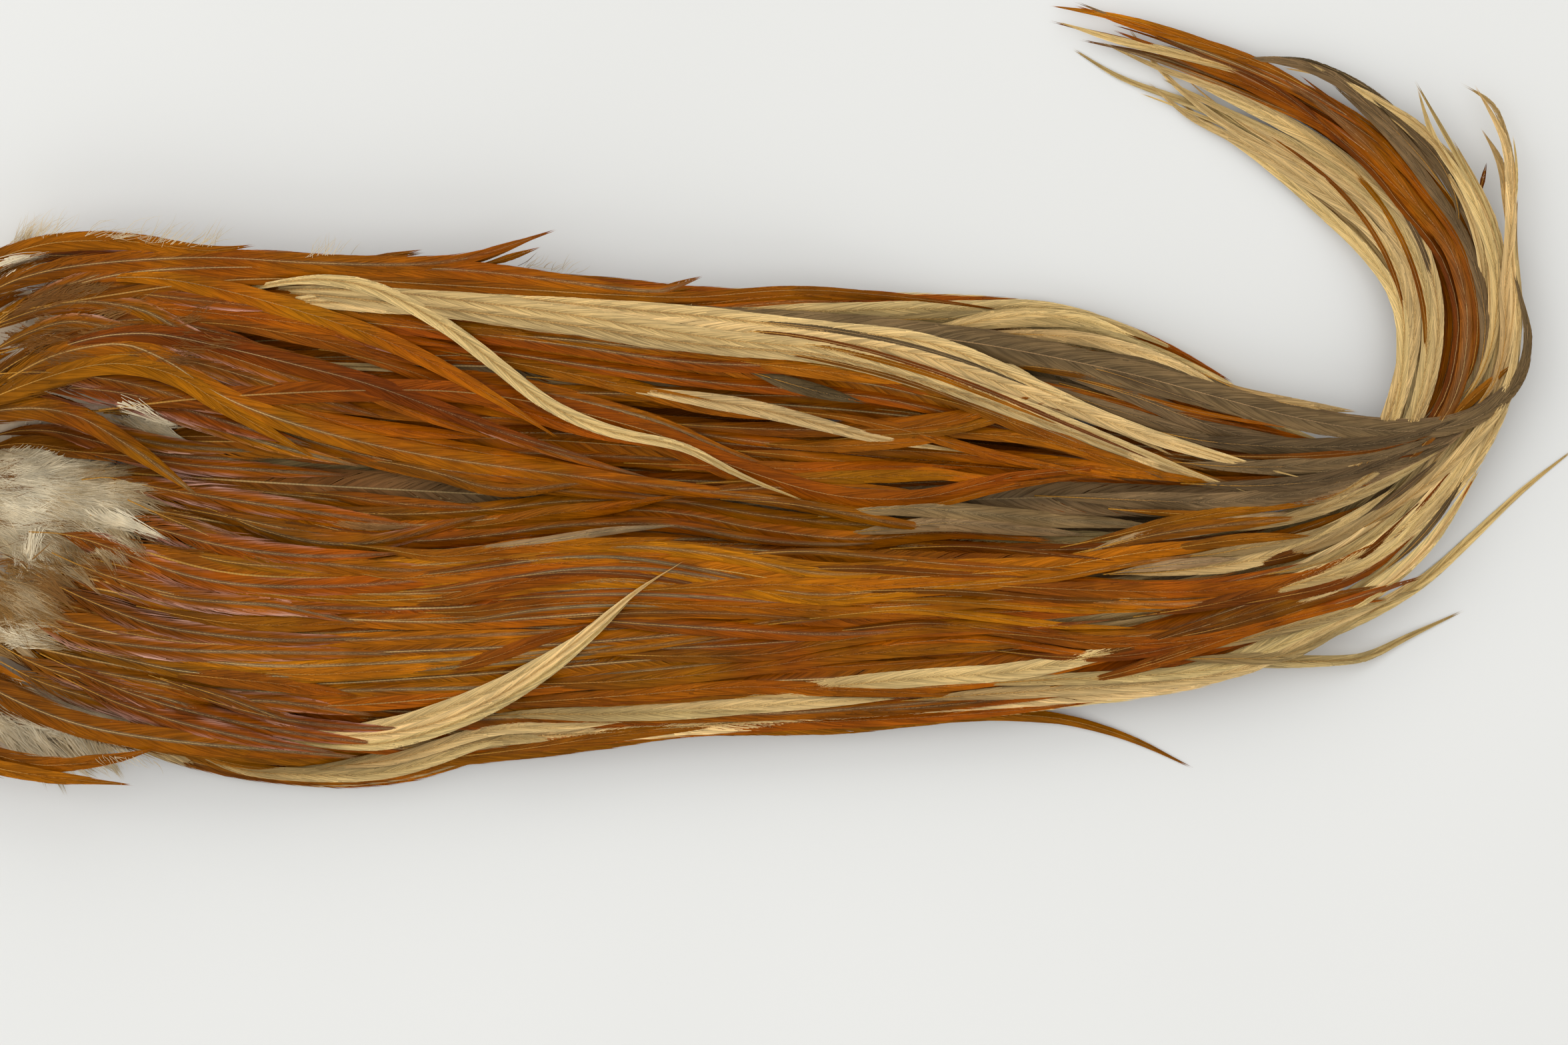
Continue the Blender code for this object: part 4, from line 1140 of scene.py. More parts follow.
# %% Lay the feathers that show
SHOWN = """
    rust 5.0 under 10,20 20,21.6 30,20.6 40,18.2 52,14.6
    rust 5.0 under 10,25 22,26 34,24 46,20.5 58,16
    rust 5.0 under 22,1 32,0 42,-2.2 54,-4.4 66,-6
    rust 5.0 under 20,6 32,6.5 44,4.6 56,2.6 68,2
    rust 5.0 under 12,34 24,36 38,35.6 54,33.4 70,30
    rust 4.0 under 160,14 172,13 184,11.6 196,9 206,7
    dun 4.0 under 180,0.6 195,0 205,0 215,1
    rust 4.0 under 100,18.4 112,18 126,17.2 140,16.4 156,14.8
    rust 5.0 under 80,4 100,5 120,6 140,6 160,5
    ginger 3.0 plain 14,32 24,34.6 36,35 48,34 62,32.4 76,30.4 90,28.4
    rust 3.0 plain 22,36.6 34,37.6 48,37 62,35.6 76,33.6 88,31.6
    ginger 2.8 plain 40,32.6 52,32 64,30 76,27.4 88,25
    dun 2.6 dark 160,29 166,29.4 172,28.8 180,27.9 190,27 200,26 208,24.5 216,22
    dun 2.4 dark 168,27.4 176,26.6 185,25.5 194,23.5 202,21.4 210,19.6
    dun 2.2 plain 182,23.5 188,21.4 195,18.8 202,16.8 208,14.8 216,12.5
    rust 2.0 dark 172,26.8 178,26 186,25 196,23.6 206,21.2 216,18.6
    cream 2.8 plain 124,35 132,34.8 140,34.6 150,34.4 160,34.8 172,35 184,35.3 192,34 200,31.5 208,28
    cream 2.6 dim 150,32.6 160,33 170,33.2 180,33.4 190,32 198,29.8 206,26.4 214,22.6
    cream 2.4 plain 170,31 176,30.8 184,30.6 192,30 200,28 208,25.2 216,21
    dun 2.2 plain 130,33.2 140,33 150,32.6 160,31.8 168,31.2
    cream 2.2 plain 212,24 220,20.5 228,18.8 236,18
    rust 1.1 plain 130,36 136,36.9 143,37.4 150,37.6 160,37.2 168,36.2 176,35.2
    cream 2.4 plain 221,1.4 229,3.4 236,8 241,13.4 244.8,22 246.8,32 246,42 241,51 232,59 222,65 210,70.5
    cream 2.2 plain 224,1.6 233,3.8 241,9 245.6,15.6 248.4,25 249,36 246,46 239,54.5 229,61.5 217,67.5 206,73
    cream 2.0 plain 222,2 230,4.8 236.6,9 240.8,14.6 243.8,22.6 245.6,31 244.6,40 240,48.6 232.6,56 223,62.6
    cream 3.3 plain 85,33.5 100,32.5 115,31.5 130,31 150,30 170,27
    cream 3.3 plain 162,29.5 172,32.3 182,33.5 192,33 200,30.5
    cream 2.8 plain 75,-38 90,-37 97,-36 104.5,-36.3
    cream 2.7 plain 100,-32 120,-31.5 140,-30.5 160,-29.5
    cream 3.1 plain 130,-30 150,-27.5 165,-26 180,-25 195,-22 210,-17.5
    cream 2.3 plain 232,-5 242,1 250,7 257,14 262,22 264,33
    cream 2.5 plain 226,3 234,6.4 239.6,11.6 243,19.6 245.5,30 244,42 238,50 228,57 218,63 210,67 204,72
    cream 2.2 plain 228,3.4 236,7 241,12.6 244,20.6 244.6,34 240,43 230,53 220,61 212,66
    cream 2.2 plain 230,3.6 239,7.6 245,13.4 248.8,21.6 250.6,31 250,40 246,50 238,58 228,65 216,71 205,75 196,79
    cream 2.7 plain 208,-12.5 220,-11.5 230,-9 238,-5.5 246,0 252,6 256,12
    cream 2.8 plain 196,-9 206,-8.5 218,-7 228,-4 236,0 243,5
    cream 2.5 plain 205,-22 216,-18.5 228,-13.5 238,-8 247,-1 254,7
    cream 2.3 light 55,38.5 63,39.3 70,39 80,37.8 92,36.2
    dun 3.1 silver 145,0 155,1.5 165,2 175,1 187,0 197,-0.5 205,-1.3
    dun 2.8 silver 150,-2.5 160,-1.5 170,-0.5 182,-1.5 192,-2.5
    dun 2.7 silver 190,-6 200,-3 210,-1.5 220,0 232,1
    dun 2.2 plain 254,52 248,60 241,67 234,73 226,76 218,76.5
    dun 2.7 dark 135,25 145,22 155,19.5
    dun 2.3 silver 58,1.8 66,0.6 73,-0.7 82,-1
    rust 3.4 web 9,13.5 16,14.8 22,14.6 28,13.2 34,11.8 42,10.6 52,10
    rust 3.2 web 9,16.4 16,17.6 22,17.2 28,15.6 34,13.8 42,12.2 54,11.4
    rust 3.4 plain 9,11.5 15,12.6 20,12.4 26,11.4 31,10
    rust 3.1 web 10,40 17,43 25,43.6 40,42.6 52,42 62,42.6
    rust 3.3 web 10,31 20,34.5 28,35.8 37,34.5 43,31.5 50,27.5 59.5,22
    rust 3.1 web 18,20 25,23.2 33,23 40,21.5 50,18 60,15.5
    rust 3.3 bare 19,-8.7 25,-11.8 32,-14.8 40,-17.5 50,-19 60,-19.8 74,-19.5
    rust 3.4 bare 13,-13 20,-16.3 27,-19.3 37,-20.8 45,-21.5 60,-21.8 78,-22
    rust 3.1 bare 12,-22.5 20,-26.6 27,-29 34,-31 45,-33.5 56,-35
    rust 2.7 plain 93,-27 110,-26.8 125,-25.8 140,-24 155,-22 185,-20.5
    rust 2.5 plain 110,-22 125,-22.4 140,-22 152,-19.8 172,-17.3 195,-19.5
    rust 2.5 plain 200,-16 215,-13.5 230,-9 240,-4
    rust 2.5 plain 190,-27.5 212,-20.5 225,-16.5 240,-13
    ginger 2.8 plain 13,37 20,40 30,42.5 40,42.5 50,42
    ginger 3.1 web 10,30 20,36.5 28,39.5 35,41.5 46,42.5 58,43 70,42.5 82,44
    ginger 3.3 web 10,26.5 18,30.5 25,32.5 32,31.5 38,29 45,25.5 52,22.5
    ginger 3.4 web 12,22.5 20,26 28,28.8 35,28.5 40,26 45,22.5 50,20.5 60,17.3 70,13.8 80,11.8 90,9.8 110,7.2
    ginger 2.8 light 45,23.5 52,21.5 60,19 70,16 80,14.7 93,13.6
    ginger 2.7 plain 50,27 61,20 70,18.8 80,17.5 92,16
    ginger 3.0 web 31,40 40,39.5 50,37.3 58,35.3 66,32.5 75,29.2 84,26
    ginger 2.8 web 30,38 36,37.2 42,36.5 52,35.5 62,34.6
    ginger 3.0 light 45,40.3 52,40.8 60,41.5 70,41.3 84,40.5 98,40.4
    ginger 2.8 bare 21,11.7 27,11.2 34,10.6 45,9 60,8 70,7.4
    ginger 3.4 bare 26.5,6.6 31,7 36,5.9 43,4.6 52,3.2 60,2 70,0.5 82,-1.2
    ginger 3.1 bare 34.3,3.3 39,1.2 45,-1.3 50,-3.5 56,-6 65,-7 78,-8.2 95,-8.6
    ginger 3.4 bare 18,-2 24,-2.4 30,-4 36,-6.3 44,-9 52,-10.5 62,-11 75,-10.6 88,-9.2 104,-7.2
    ginger 3.4 bare 22,-5.4 28,-8 36,-10.7 44,-12.6 52,-13.7 62,-14.3 78,-14.6
    ginger 3.1 bare 12,-19.9 20,-24 28,-26.3 35,-28 42,-29.8 50,-32.5 58,-34.3 66,-36
    ginger 3.0 plain 36,-24.5 45,-25.5 52,-26.2 60,-27 72,-29
    ginger 3.0 web 38,-25.5 45,-27.8 52,-29.5 60,-30 74,-32
    ginger 2.8 web 30,-8.2 36,-11 43,-12.8 52,-13.6 60,-14.2 72,-16.8
    ginger 2.7 plain 36,-14.2 44,-15.8 52,-17 60,-17.3 74,-17
    ginger 2.8 web 40,-26 50,-29 58,-32 65,-34.5 76,-36.5
    ginger 2.8 web 66,10.5 73,10 80,9 87,7.3 93,5.5 100,5 112,6.6
    ginger 2.5 web 62,4.6 69,4 76,3 84,2.3 92,2
    ginger 3.0 web 44,3 50,1 56,-1.5 64,-3.5 72,-4 80,-2.8 88,-0.5 93,0.6
    ginger 2.8 light 66,-8 72,-8.6 78,-9.6 88,-9 98,-7.8 112,-6.5 125,-5.5
    ginger 2.7 plain 70,-4 78,-5 85,-6 93,-5.5 100,-4.3 112,-4 125,-3
    ginger 2.8 plain 74,-13.5 80,-13.5 88,-13 96,-11 104,-9.5 118,-8.7
    ginger 2.7 light 84,-1.4 90,-1.2 96,-0.5 104,1 112,1.8 124,3.8
    ginger 2.5 plain 78,-15 90,-15.2 110,-13.5 140,-14.5 160,-15.4 180,-14.8
    ginger 2.5 plain 80,-26 88,-24.5 95,-22.5 103,-19.5 110,-17.5
    ginger 2.5 plain 88,-30.2 100,-30 118,-28.8 135,-27.5 150,-28 175,-29
    ginger 2.8 light 66,28 70,27.5 80,24.8 90,21.2 100,17.8 112,14.2 124,12
    ginger 2.7 plain 85,28 100,25.5 115,22.5 130,18.5 145,16.5
    ginger 2.7 web 122,16 130,15.5 142,15 155,15.2 170,16.8 184.5,20.7
    ginger 2.5 light 132,11.6 140,11 150,10 165,8 180,6
    ginger 2.5 plain 160,22 175,18 190,12 210,6
    ginger 2.7 plain 142,12.5 150,12 170,11 190,9 215,6
    ginger 2.7 plain 170,-10.5 180,-11 195,-11.6 210,-11.8 222,-10.4 232,-8
    ginger 2.5 web 118,3 130,4.6 142,5.4 156,5 170,3.6
    ginger 2.5 light 112,-12 126,-11.2 142,-10.6 158,-10.8 176,-9.6
    ginger 2.7 web 104,-15.8 118,-17 134,-18 150,-18.8 168,-18
    ginger 2.3 plain 124,8.2 136,8.8 148,8.2 162,7
    ginger 2.3 plain 250,18 254,28 254,38 249,49 241,58 231,66 220,72 208,77 198,81
    golden 2.7 light 130,27 136,26 150,24.3 165,22.5
    golden 2.3 light 88,-6.2 95,-6.5 105,-6.4 115,-5.8
    golden 2.3 plain 83,31.5 92,31.6 100,31
    golden 2.5 plain 40,22 48,20.5 55,16.5 60,13.5 64.5,10.8
    golden 1.9 light 250,14 256,20 262,25
    golden 2.3 light 50,-24.5 62,-25.4 74,-25 88,-24
    golden 2.2 plain 158,13.6 170,14.4 184,13.2 198,9.6
    ginger 2.4 web 50,40 56,41.1 62,41.4 70,41.5 80,41.9 90,41.5 98,40.6 106,39.2
    ginger 2.2 plain 78,39 86,38.4 94,37.2 102,36.6 112,36.8 120,35.6
    ginger 2.0 light 92,39 98,38.2 104,36.6 110,34.8 116,34 124,34
    golden 2.0 plain 96,38.8 102,37.4 108,35.6 114,33.9 120,33.2 130,34.2 140,34.6
    cream 2.4 dim 82,36.3 88,36.4 94,35.9 100,35.4 108,34.5 116,33 124,31.6 132,30.8 140,30.5
    cream 2.6 plain 70,35.4 76,35.9 84,35.4 92,34.6 100,33.3 108,31.8 116,30.2 124,29 132,28.4 140,27.7 150,26.9
    cream 2.4 light 128,31.2 134,31.2 142,30.7 150,29.8 158,28.6 166,26.8 174,24.4 182,21.8 190,18.6 198,14.8 206,11
    cream 2.4 light 134,28 140,27.5 150,26.7 158,25.5 165,23.7 172,21.4 180,18.8 188,15.8 196,12.2 204,9 214,6
    golden 1.8 light 137,26.4 143,26 150,25.2 158,24.1 166,22.8 174,20.8 181,18.8
    cream 2.0 plain 128,32.6 136,32.4 144,31.8 152,31.1 160,30.6 168,29.8 174,27.8 180,25.2 185,22.4 189,19
    cream 2.0 light 156,29.4 161,30 166,30.9 172,32.2 178,33.4 184,34 189,33.6
    golden 1.4 plain 76,33.2 84,32.5 92,31.6 101,30.3
    ginger 2.2 web 54,27 58,27 65,25.8 72,23.4 80,20.6 90,16.6 100,12.8 110,9.6 120,7
    ginger 2.2 light 56,24 62,23.8 70,22.4 78,19.2 86,16.2 94,13.6
    ginger 2.0 plain 144,14 153,14.8 162,15 170,16.2 176,18 184,20.6
    ginger 1.8 plain 150,13.2 158,13.9 168,14.6 176,16.2 184.5,19
    golden 1.5 light 86,41.2 90,42.2 94,43.5 98,45.2 101,46.2
    golden 1.3 light 90,41.4 94,42.2 98,43.4 101.6,44.6
    golden 1.4 light 114,36.2 118,36.8 122,37.7 125.4,39 127.8,39.8
    golden 1.2 light 117,36.6 122,37.3 127.4,38.2
    ginger 1.2 plain 118,36.4 122,36.8 126,36.9
    golden 1.2 plain 70,42.6 75,43 79,43.6 82,44.2
    golden 1.8 plain 42,-37 48,-39.4 54,-40.8 60,-41.3
    cream 1.8 dim 50,-41 58,-42 66,-41.4 72,-40 79,-37.8
    cream 2.4 plain 42,-36.6 47,-39.3 53,-41.4 60,-42.1 70,-42.3 78,-41.5 86,-39.2 92,-37 98,-35.9 104.6,-36.4
    cream 2.2 plain 60,-41 70,-40.6 78,-39.6 86,-37.2 92,-35.2 98,-34.2 106,-34.2 116,-33.2
    ginger 2.2 plain 88,-39.2 95,-38.4 103,-37.3 110,-36.2 118,-35.2 130,-34.2
    cream 2.6 dim 90,-32.8 100,-32 112,-32 124,-31.8 140,-31.4
    cream 2.4 plain 160,-30 172,-29 185,-28.2 200,-27.3 212,-25.9 220,-24 228,-20.2 235,-16.4 242,-13 248,-9
    cream 2.2 plain 170,-27.4 185,-26.4 200,-25.8 213,-24.6 222,-21.8 230,-17.8 238,-13.8 245,-9
    cream 2.2 dim 205,-22.8 215,-22.9 225,-22.4 233,-18.6 240,-14.6
    cream 2.0 dim 206,-22 216,-20.3 224,-18.2 232,-16.2 240,-13.8 247,-11.6
    ginger 2.0 plain 185,-27.8 195,-26 203,-23.8 212,-20.8 220,-18 228,-15.8 236,-14 241,-13.3
    rust 2.2 dark 180,-24.4 190,-22.8 200,-20.9 210,-18 220,-15 228,-12.3 236,-10.2 242,-7
    rust 2.0 dark 198,-20.4 210,-18.8 221,-16 231,-13 240,-11
    rust 2.2 dark 214,-14.6 224,-12.8 233,-10.8 240,-7.6 246,-3
    cream 2.2 plain 214,-12.8 222,-11.8 230,-9.8 237,-8 243,-4.6 248,1
    dun 1.6 dark 224,-8.6 232,-6.6 239,-3.2 245,1.4
    cream 2.1 dim 221,-9.3 230,-7.4 236,-5 242,-1 247,4
    ginger 2.0 dark 214,-8 222,-6.9 229,-5.2 235,-2.4
    cream 2.0 dim 216,-6.8 223,-6.2 229,-4.8 236,-1.8 242,2 247,6.4
    dun 1.8 silver 195,-9 202,-7.9 210,-7 217,-6.4
    cream 1.9 dim 205,-6.2 212,-5.8 218,-4.8 225,-3.6 230,-2.2 234,-0.4
    cream 2.3 dim 213,-2.2 222,-0.8 230,1.4 238,4.6 244,7.4 250,11
    ginger 2.4 web 190,-5.6 197,-4 204,-2.4 212,-1.2 220,-0.4 228,0.4
    ginger 2.0 plain 188,-4.6 197,-2.6 205,-0.6 213,0.9 221,1.9 230,2.6
    golden 2.0 plain 203,-5.3 210,-4.2 218,-3.2 224,-2.8 228.6,-2.7
    dun 3.2 plain 184,4 200,3.3 212,2.9 222,3.6 232,5.2 240,7.6
    golden 1.2 light 196,1.8 204,1.2 212,0.9 220,1.6
    rust 1.4 dark 226,-9.4 234,-7.8 241,-3.6 247,2.4
    dun 1.3 dark 232,-3.6 239,0.4 245,5.2 250,9.4
    rust 1.2 dark 236,-8 243,-3 249,3.4 253,8.6
    dun 1.2 dark 240,-9.6 246,-4.6 251,1.2 255,7.4
    ginger 2.4 light 116,9.4 130,9 145,8.4 160,8.8 172,8.6
    ginger 2.4 plain 128,6 140,6.6 152,7 166,7.4 178,7
    ginger 2.2 light 136,12.8 148,12.2 160,12.6 170,13.4
    cream 2.4 light 245,48.6 240.6,54.4 234.6,60 227,64.9 219,68.8 212,71.8
    cream 2.0 plain 252.4,17 257,23 259.6,30 260.3,39 258.6,47.5 254.8,56 250.2,62.7 247.6,70.6
    cream 1.4 plain 258.4,47 254.6,55.6 248.6,64.4 239.6,70 230,75.4
    dun 1.6 dark 254.6,46 253.8,53 250.8,59.5 245.5,65 240.5,69.2
    rust 1.6 dark 236,5.6 243,9.6 248.6,15.6 251.8,21 253.4,27 254,34.5 251.3,43.8 244.6,52.3 \
        238.6,59.5 224.5,71.3 212,77 204,80.6
    dun 2.2 plain 253,19 256.6,23 258,28 258.2,35 255.6,45.5 249.4,55.6 242.5,64 234,71.6
    rust 1.5 plain 251.4,18 254.8,22.4 256.6,27 257,35.5 254.2,46 247.5,55.5 241,63.3 229,73
    ginger 2.4 broad 238,5.6 246,10.4 251.4,17 253.8,22 255,27 255.4,35 252.7,45 246,54 240,61.3 233,67.6 226,72.6
    ginger 3.6 bare 28,0.8 35,-0.4 42,-2.2 48,-3.8 56,-5.2 66,-6 78,-5.6
    ginger 2.6 web 30,17.6 37,17.4 44,16.4 52,14.2 62,11.4 72,9
    rust 4.4 bare 12,20.4 19,21.4 26,21.6 34,20.8 42,18.8 52,15.8 64,12.4
    rust 4.0 bare 12,23.8 20,24.2 28,23.6 36,22.2 44,20 54,17
    ginger 3.2 bare 30,30 38,29.8 46,28.4 54,26 63,23 74,19.6
    rust 3.2 bare 30,27 38,27 46,25.8 54,23.6 64,20.4 76,17
    rust 1.7 web 70,-9.6 80,-9.4 92,-8 104,-6.4 116,-6.2 128,-8 140,-10.6
    ginger 1.9 web 74,-12 86,-11.4 98,-9.4 110,-8 122,-8.2 134,-10
    rust 1.5 dark 84,-10.8 96,-9.6 108,-8.6 120,-9.2 132,-11.4
    ginger 1.7 web 92,-13.4 104,-12.6 116,-12.2 128,-12.6 142,-13.6
    rust 1.5 dark 96,-16.6 108,-16 120,-15.2 134,-15.4 148,-16.4
    rust 1.6 web 78,-16.8 90,-16.6 102,-14.8 114,-14 128,-14.2
    dun 1.6 silver 84,-5 94,-4.6 104,-3.4 114,-1.8 124,-1
    rust 1.6 web 132,-6 146,-5.2 160,-6.4 174,-7.6 188,-8.2
    rust 1.4 dark 140,-8.4 154,-8 168,-8.8 182,-9.4
    cream 2.0 plain 254,16 259.4,22 261.6,30 261.6,38 262.4,46 262.6,54 262,62 259.7,67.2 257.6,70.9
    cream 1.3 plain 262,46 261.6,54 261,59.2 258.4,63.9
    rust 1.0 plain 257.2,52 258,55.6 258.7,58.6
    dun 2.6 dark 204,12.4 214,10 224,8.4 234,8 244,9.4 252,12.4
    dun 3.2 plain 186,24.5 200,20.5 210,16.6 222,12.8 235,11 246,11.6 254,14.4
    rust 1.0 dark 206,14 216,11.6 226,10 236,9.6 246,10.6
    """

# %% [markdown]
# ## The last feathers on top
#
# A few slender ones cross the frame's top feathers, so they are laid last of all. Thin dark ones among them
# part the broad cream feathers, as the shadows between narrow ones do.

# %% Lay them in order
SHOWN_OVER_ALL = """
    ginger 0.9 plain 184,25 194,22.6 204,19.6 214,17.2 226,15.2
    dun 1.2 dark 186,26.6 196,24.4 205,21.4 213,18.8
    rust 0.8 plain 188,22.6 200,19.4 212,16.8 224,14.4
    ginger 1.8 plain 140,18.4 152,17 164,14.4 176,11 188,8.4 198,6.6
    golden 1.2 light 100,23.6 110,22.8 120,21.4 130,19.8
    dun 3.2 dark 202,15 212,13 222,12.2 231,12 240,12.6 247,14 253,16.4
    dun 2.8 plain 206,9.6 216,8.8 226,8.8 235,9.7 242,10.8 249,13.4
    dun 2.6 dark 208,6 218,5.6 227,6 234,7 241,9.4 247,12.4
    rust 1.1 dark 210,11 220,10.4 230,10.6 240,11.6 248,13.6
    ginger 3.0 bare 20,-22 30,-26.6 40,-30.2 50,-32.8 59,-34.6 68,-36 76,-36.8
    rust 2.8 bare 22,-25 32,-29.8 42,-33 51,-35.2 60,-37 68,-38.2
    rust 0.8 plain 242.6,17 244.6,25 245,33 243.4,41 239.8,48.4 234.6,55 228,60.6 221,65.4
    rust 0.9 plain 245.6,15 248,23 248.6,32 247,41 243.4,49.6 237.6,57.4 230,63.6 221,69
    dun 0.9 dark 247.6,16 250,24 250.8,33 249.2,42.6 245,51.6 239,59.4 231,66 222,71.4
    rust 0.9 dark 130,31.4 142,30.6 152,28.8 162,26.2 172,22.8 182,18.8 192,14.6 202,10.4
    rust 0.9 dark 132,28.4 144,27.2 154,25.2 164,22.4 174,18.7 184,14.8 194,10.8 204,7.2
    dun 1.0 dark 128,33 140,32.4 152,31 162,29 172,26.2 182,22.4
    golden 0.9 plain 136,29.8 147,28.8 157,26.6 167,23.8 177,20 187,16
    rust 2.0 web 44,-28.4 54,-31.4 63,-33.3 72,-34.2 81,-34.4
    ginger 2.2 web 132,3.4 142,2.8 152,1.2 161,-0.6 170,-1.6
    golden 1.5 light 224,74.6 214,78.6 204,81.8 195,84 188,85.2
    cream 1.6 light 228,70.6 217,74.8 206,77.8 198,79.6 189,82.4
    ginger 1.9 light 234,69 223,75 212,79 201,82 192,85
    ginger 2.4 plain 170,-18 184,-19.2 196,-20.4 208,-20 220,-17.8 232,-14.6
    rust 1.8 plain 176,-21.4 188,-22.6 200,-22.2 212,-19.8 224,-17
    golden 1.6 light 140,-17.2 152,-15.6 164,-14.8 176,-16 188,-17.4 200,-17.8
    rust 1.2 dark 142,-19.4 154,-18 166,-17 178,-18.2 190,-19.6
    rust 1.2 dark 144,-12.6 158,-11.6 172,-11.8 186,-13 200,-13.4 212,-12.8
    golden 1.4 light 152,-13.4 164,-13.2 176,-13.8 190,-14.8 204,-15
    rust 1.0 dark 160,-4.8 172,-4.4 184,-5.4 196,-6.6
    """
WORDS = {
    # shade, web, start of the barbs, downy length
    "plain": (0.5, 0.0, 1 * MM, 0.0), "web": (0.5, 1.0, 1 * MM, 0.0), "light": (0.75, 0.0, 1 * MM, 0.0),
    # the under word's low shade darkens the colour of feathers laid on the table: painted shade for their place
    # below the pile
    "dark": (0.15, 0.3, 1 * MM, 0.0), "under": (0.1, 0.0, 1 * MM, 0.0), "broad": (0.4, 3.0, 1 * MM, 0.0),
    "dim": (0.25, 0.0, 1 * MM, 0.0), "silver": (1.35, 0.9, 1 * MM, 0.0), "bare": (0.45, 0.8, 5 * MM, 26 * MM),
}
ROOT_SINK = 0.6 * MM
ROOT_RUN = 14 * MM
START_TAPER = 20 * MM
UNDER_HEIGHT = 0.5 * MM
# bare or webbed feathers that start before this get the finish with the painted highlight
PAINTED_GLINTS_BEFORE = 56 * MM


def lay_shown(rows, title):
    rng = np.random.default_rng(77)
    slots = sorted({row.split()[0] for row in rows})
    bundles = {slot: Bundle(title + "_" + slot, slot, [VANE[slot], QUILL[slot], PAINTED_GLINT_VANE[slot]])
               for slot in slots}
    for row in rows:
        slot, width, word, *places = row.split()
        shade, web, start, loose = WORDS[word]
        route = np.array([[float(n) for n in place.split(",")] + [0.0] for place in places]) * MM
        lie = Lie(smooth_through(route), half=lambda u: float(width) * MM / 2 * outline(u))
        z = pile.settle(pile.under(lie))
        if word == "under":
            z = z * 0 + UNDER_HEIGHT
        elif word != "bare":
            z = z - ROOT_SINK * np.clip(1 - lie.at / ROOT_RUN, 0, 1) ** 1.5
            z = np.maximum(z, UNDER_HEIGHT)
        half = lie.half
        if word not in ("under", "bare"):
            half = half * np.clip(lie.at / min(START_TAPER, 0.4 * lie.length), 0.06, 1) ** 0.8
        lie = Lie(np.column_stack([lie.line[:, :2], z, half]))
        mood = np.array([shade + rng.uniform(-0.15, 0.15), rng.uniform(0.2, 0.8), web])
        vane = 2 if word in ("bare", "web") and route[0, 0] < PAINTED_GLINTS_BEFORE else 0
        grow(bundles[slot], lie, rng, FINE_BARB, PLAIN_QUILL, FINE_PITCH, mood, loose, start, vane,
                 ragged=GROWN_RAGGED)
        pile.draw(lie, sink=0.12 * MM)
    for bundle in bundles.values():
        bundle.build()
    print(len(rows), "feathers on top,", {b.slot: b.triangles() for b in bundles.values()})


lay_shown(SHOWN.strip().splitlines(), "shown")
dress(LATE_NODES)
lay_shown(SHOWN_OVER_ALL.strip().splitlines(), "over_all")

# %% [markdown]
# ## Locks over the roots
#
# A few white locks lie over the quills and not under them. They come after the feathers for that reason.

# %% White locks
def lay_named_locks():
    rng = np.random.default_rng(12)
    bundle = Bundle("down_locks", "down", [DOWN])
    for root, tip, spread, strands, white in NAMED_LOCKS:
        add_lock(bundle, rng, np.array(root) * MM, np.array(tip) * MM, spread * MM, strands, white, 0.9)
    bundle.build()
    print("locks", bundle.triangles(), "triangles")


cover = pile.top
lay_named_locks()

# %% [markdown]
# ## The skin
#
# Tanned saddle skin is pale, dry and dull, with a follicle where each feather grew. The frame's skin has
# the right shape, so it keeps it and gets a leather finish. At the front, where skin shows between the
# feathers, each follicle is also a small mound: one low cone, copied into every place of a
# wandering grid and joined.

# %% The skin's finish and its follicles
FOLLICLE_GAP = 2.4 * MM
FOLLICLE_RADIUS = 0.5 * MM
FOLLICLES_TO = 0.02


def skin_material():
    made, nodes, links, shader = new_material("tanned_skin")
    coordinates = add_node(nodes, "ShaderNodeTexCoord")
    pores = add_node(nodes, "ShaderNodeTexVoronoi", Scale=420.0, Randomness=0.7)
    links.new(coordinates.outputs["Object"], pores.inputs["Vector"])
    pits = ramp(nodes, links, pores.outputs["Distance"], [(0.0, 0.55), (0.28, 1.0)])
    blotches = cloud(nodes, links, 40.0, 0.0, 1.0, 6.0)
    colour = mix(nodes, links, blotches, (0.60, 0.46, 0.30), (0.70, 0.57, 0.41))
    colour = mix(nodes, links, 1.0, colour, cloud(nodes, links, 300.0, 0.88, 1.05), "MULTIPLY")
    links.new(mix(nodes, links, 1.0, colour, pits, "MULTIPLY"), shader.inputs["Base Color"])
    links.new(cloud(nodes, links, 180.0, 0.6, 0.8), shader.inputs["Roughness"])
    bump = add_node(nodes, "ShaderNodeBump", Strength=0.5, Distance=0.2 * MM)
    links.new(pits, bump.inputs["Height"])
    links.new(bump.outputs["Normal"], shader.inputs["Normal"])
    return made


def mound_blank():
    select_nothing()
    bpy.ops.mesh.primitive_cone_add(vertices=8, radius1=FOLLICLE_RADIUS, radius2=0.3 * FOLLICLE_RADIUS,
                                    depth=0.5 * FOLLICLE_RADIUS, end_fill_type="TRIFAN")
    mound = bpy.context.object
    bpy.ops.object.mode_set(mode="EDIT")
    bpy.ops.mesh.select_all(action="SELECT")
    bpy.ops.mesh.quads_convert_to_tris()
    bpy.ops.object.mode_set(mode="OBJECT")
    return take_shape(mound)


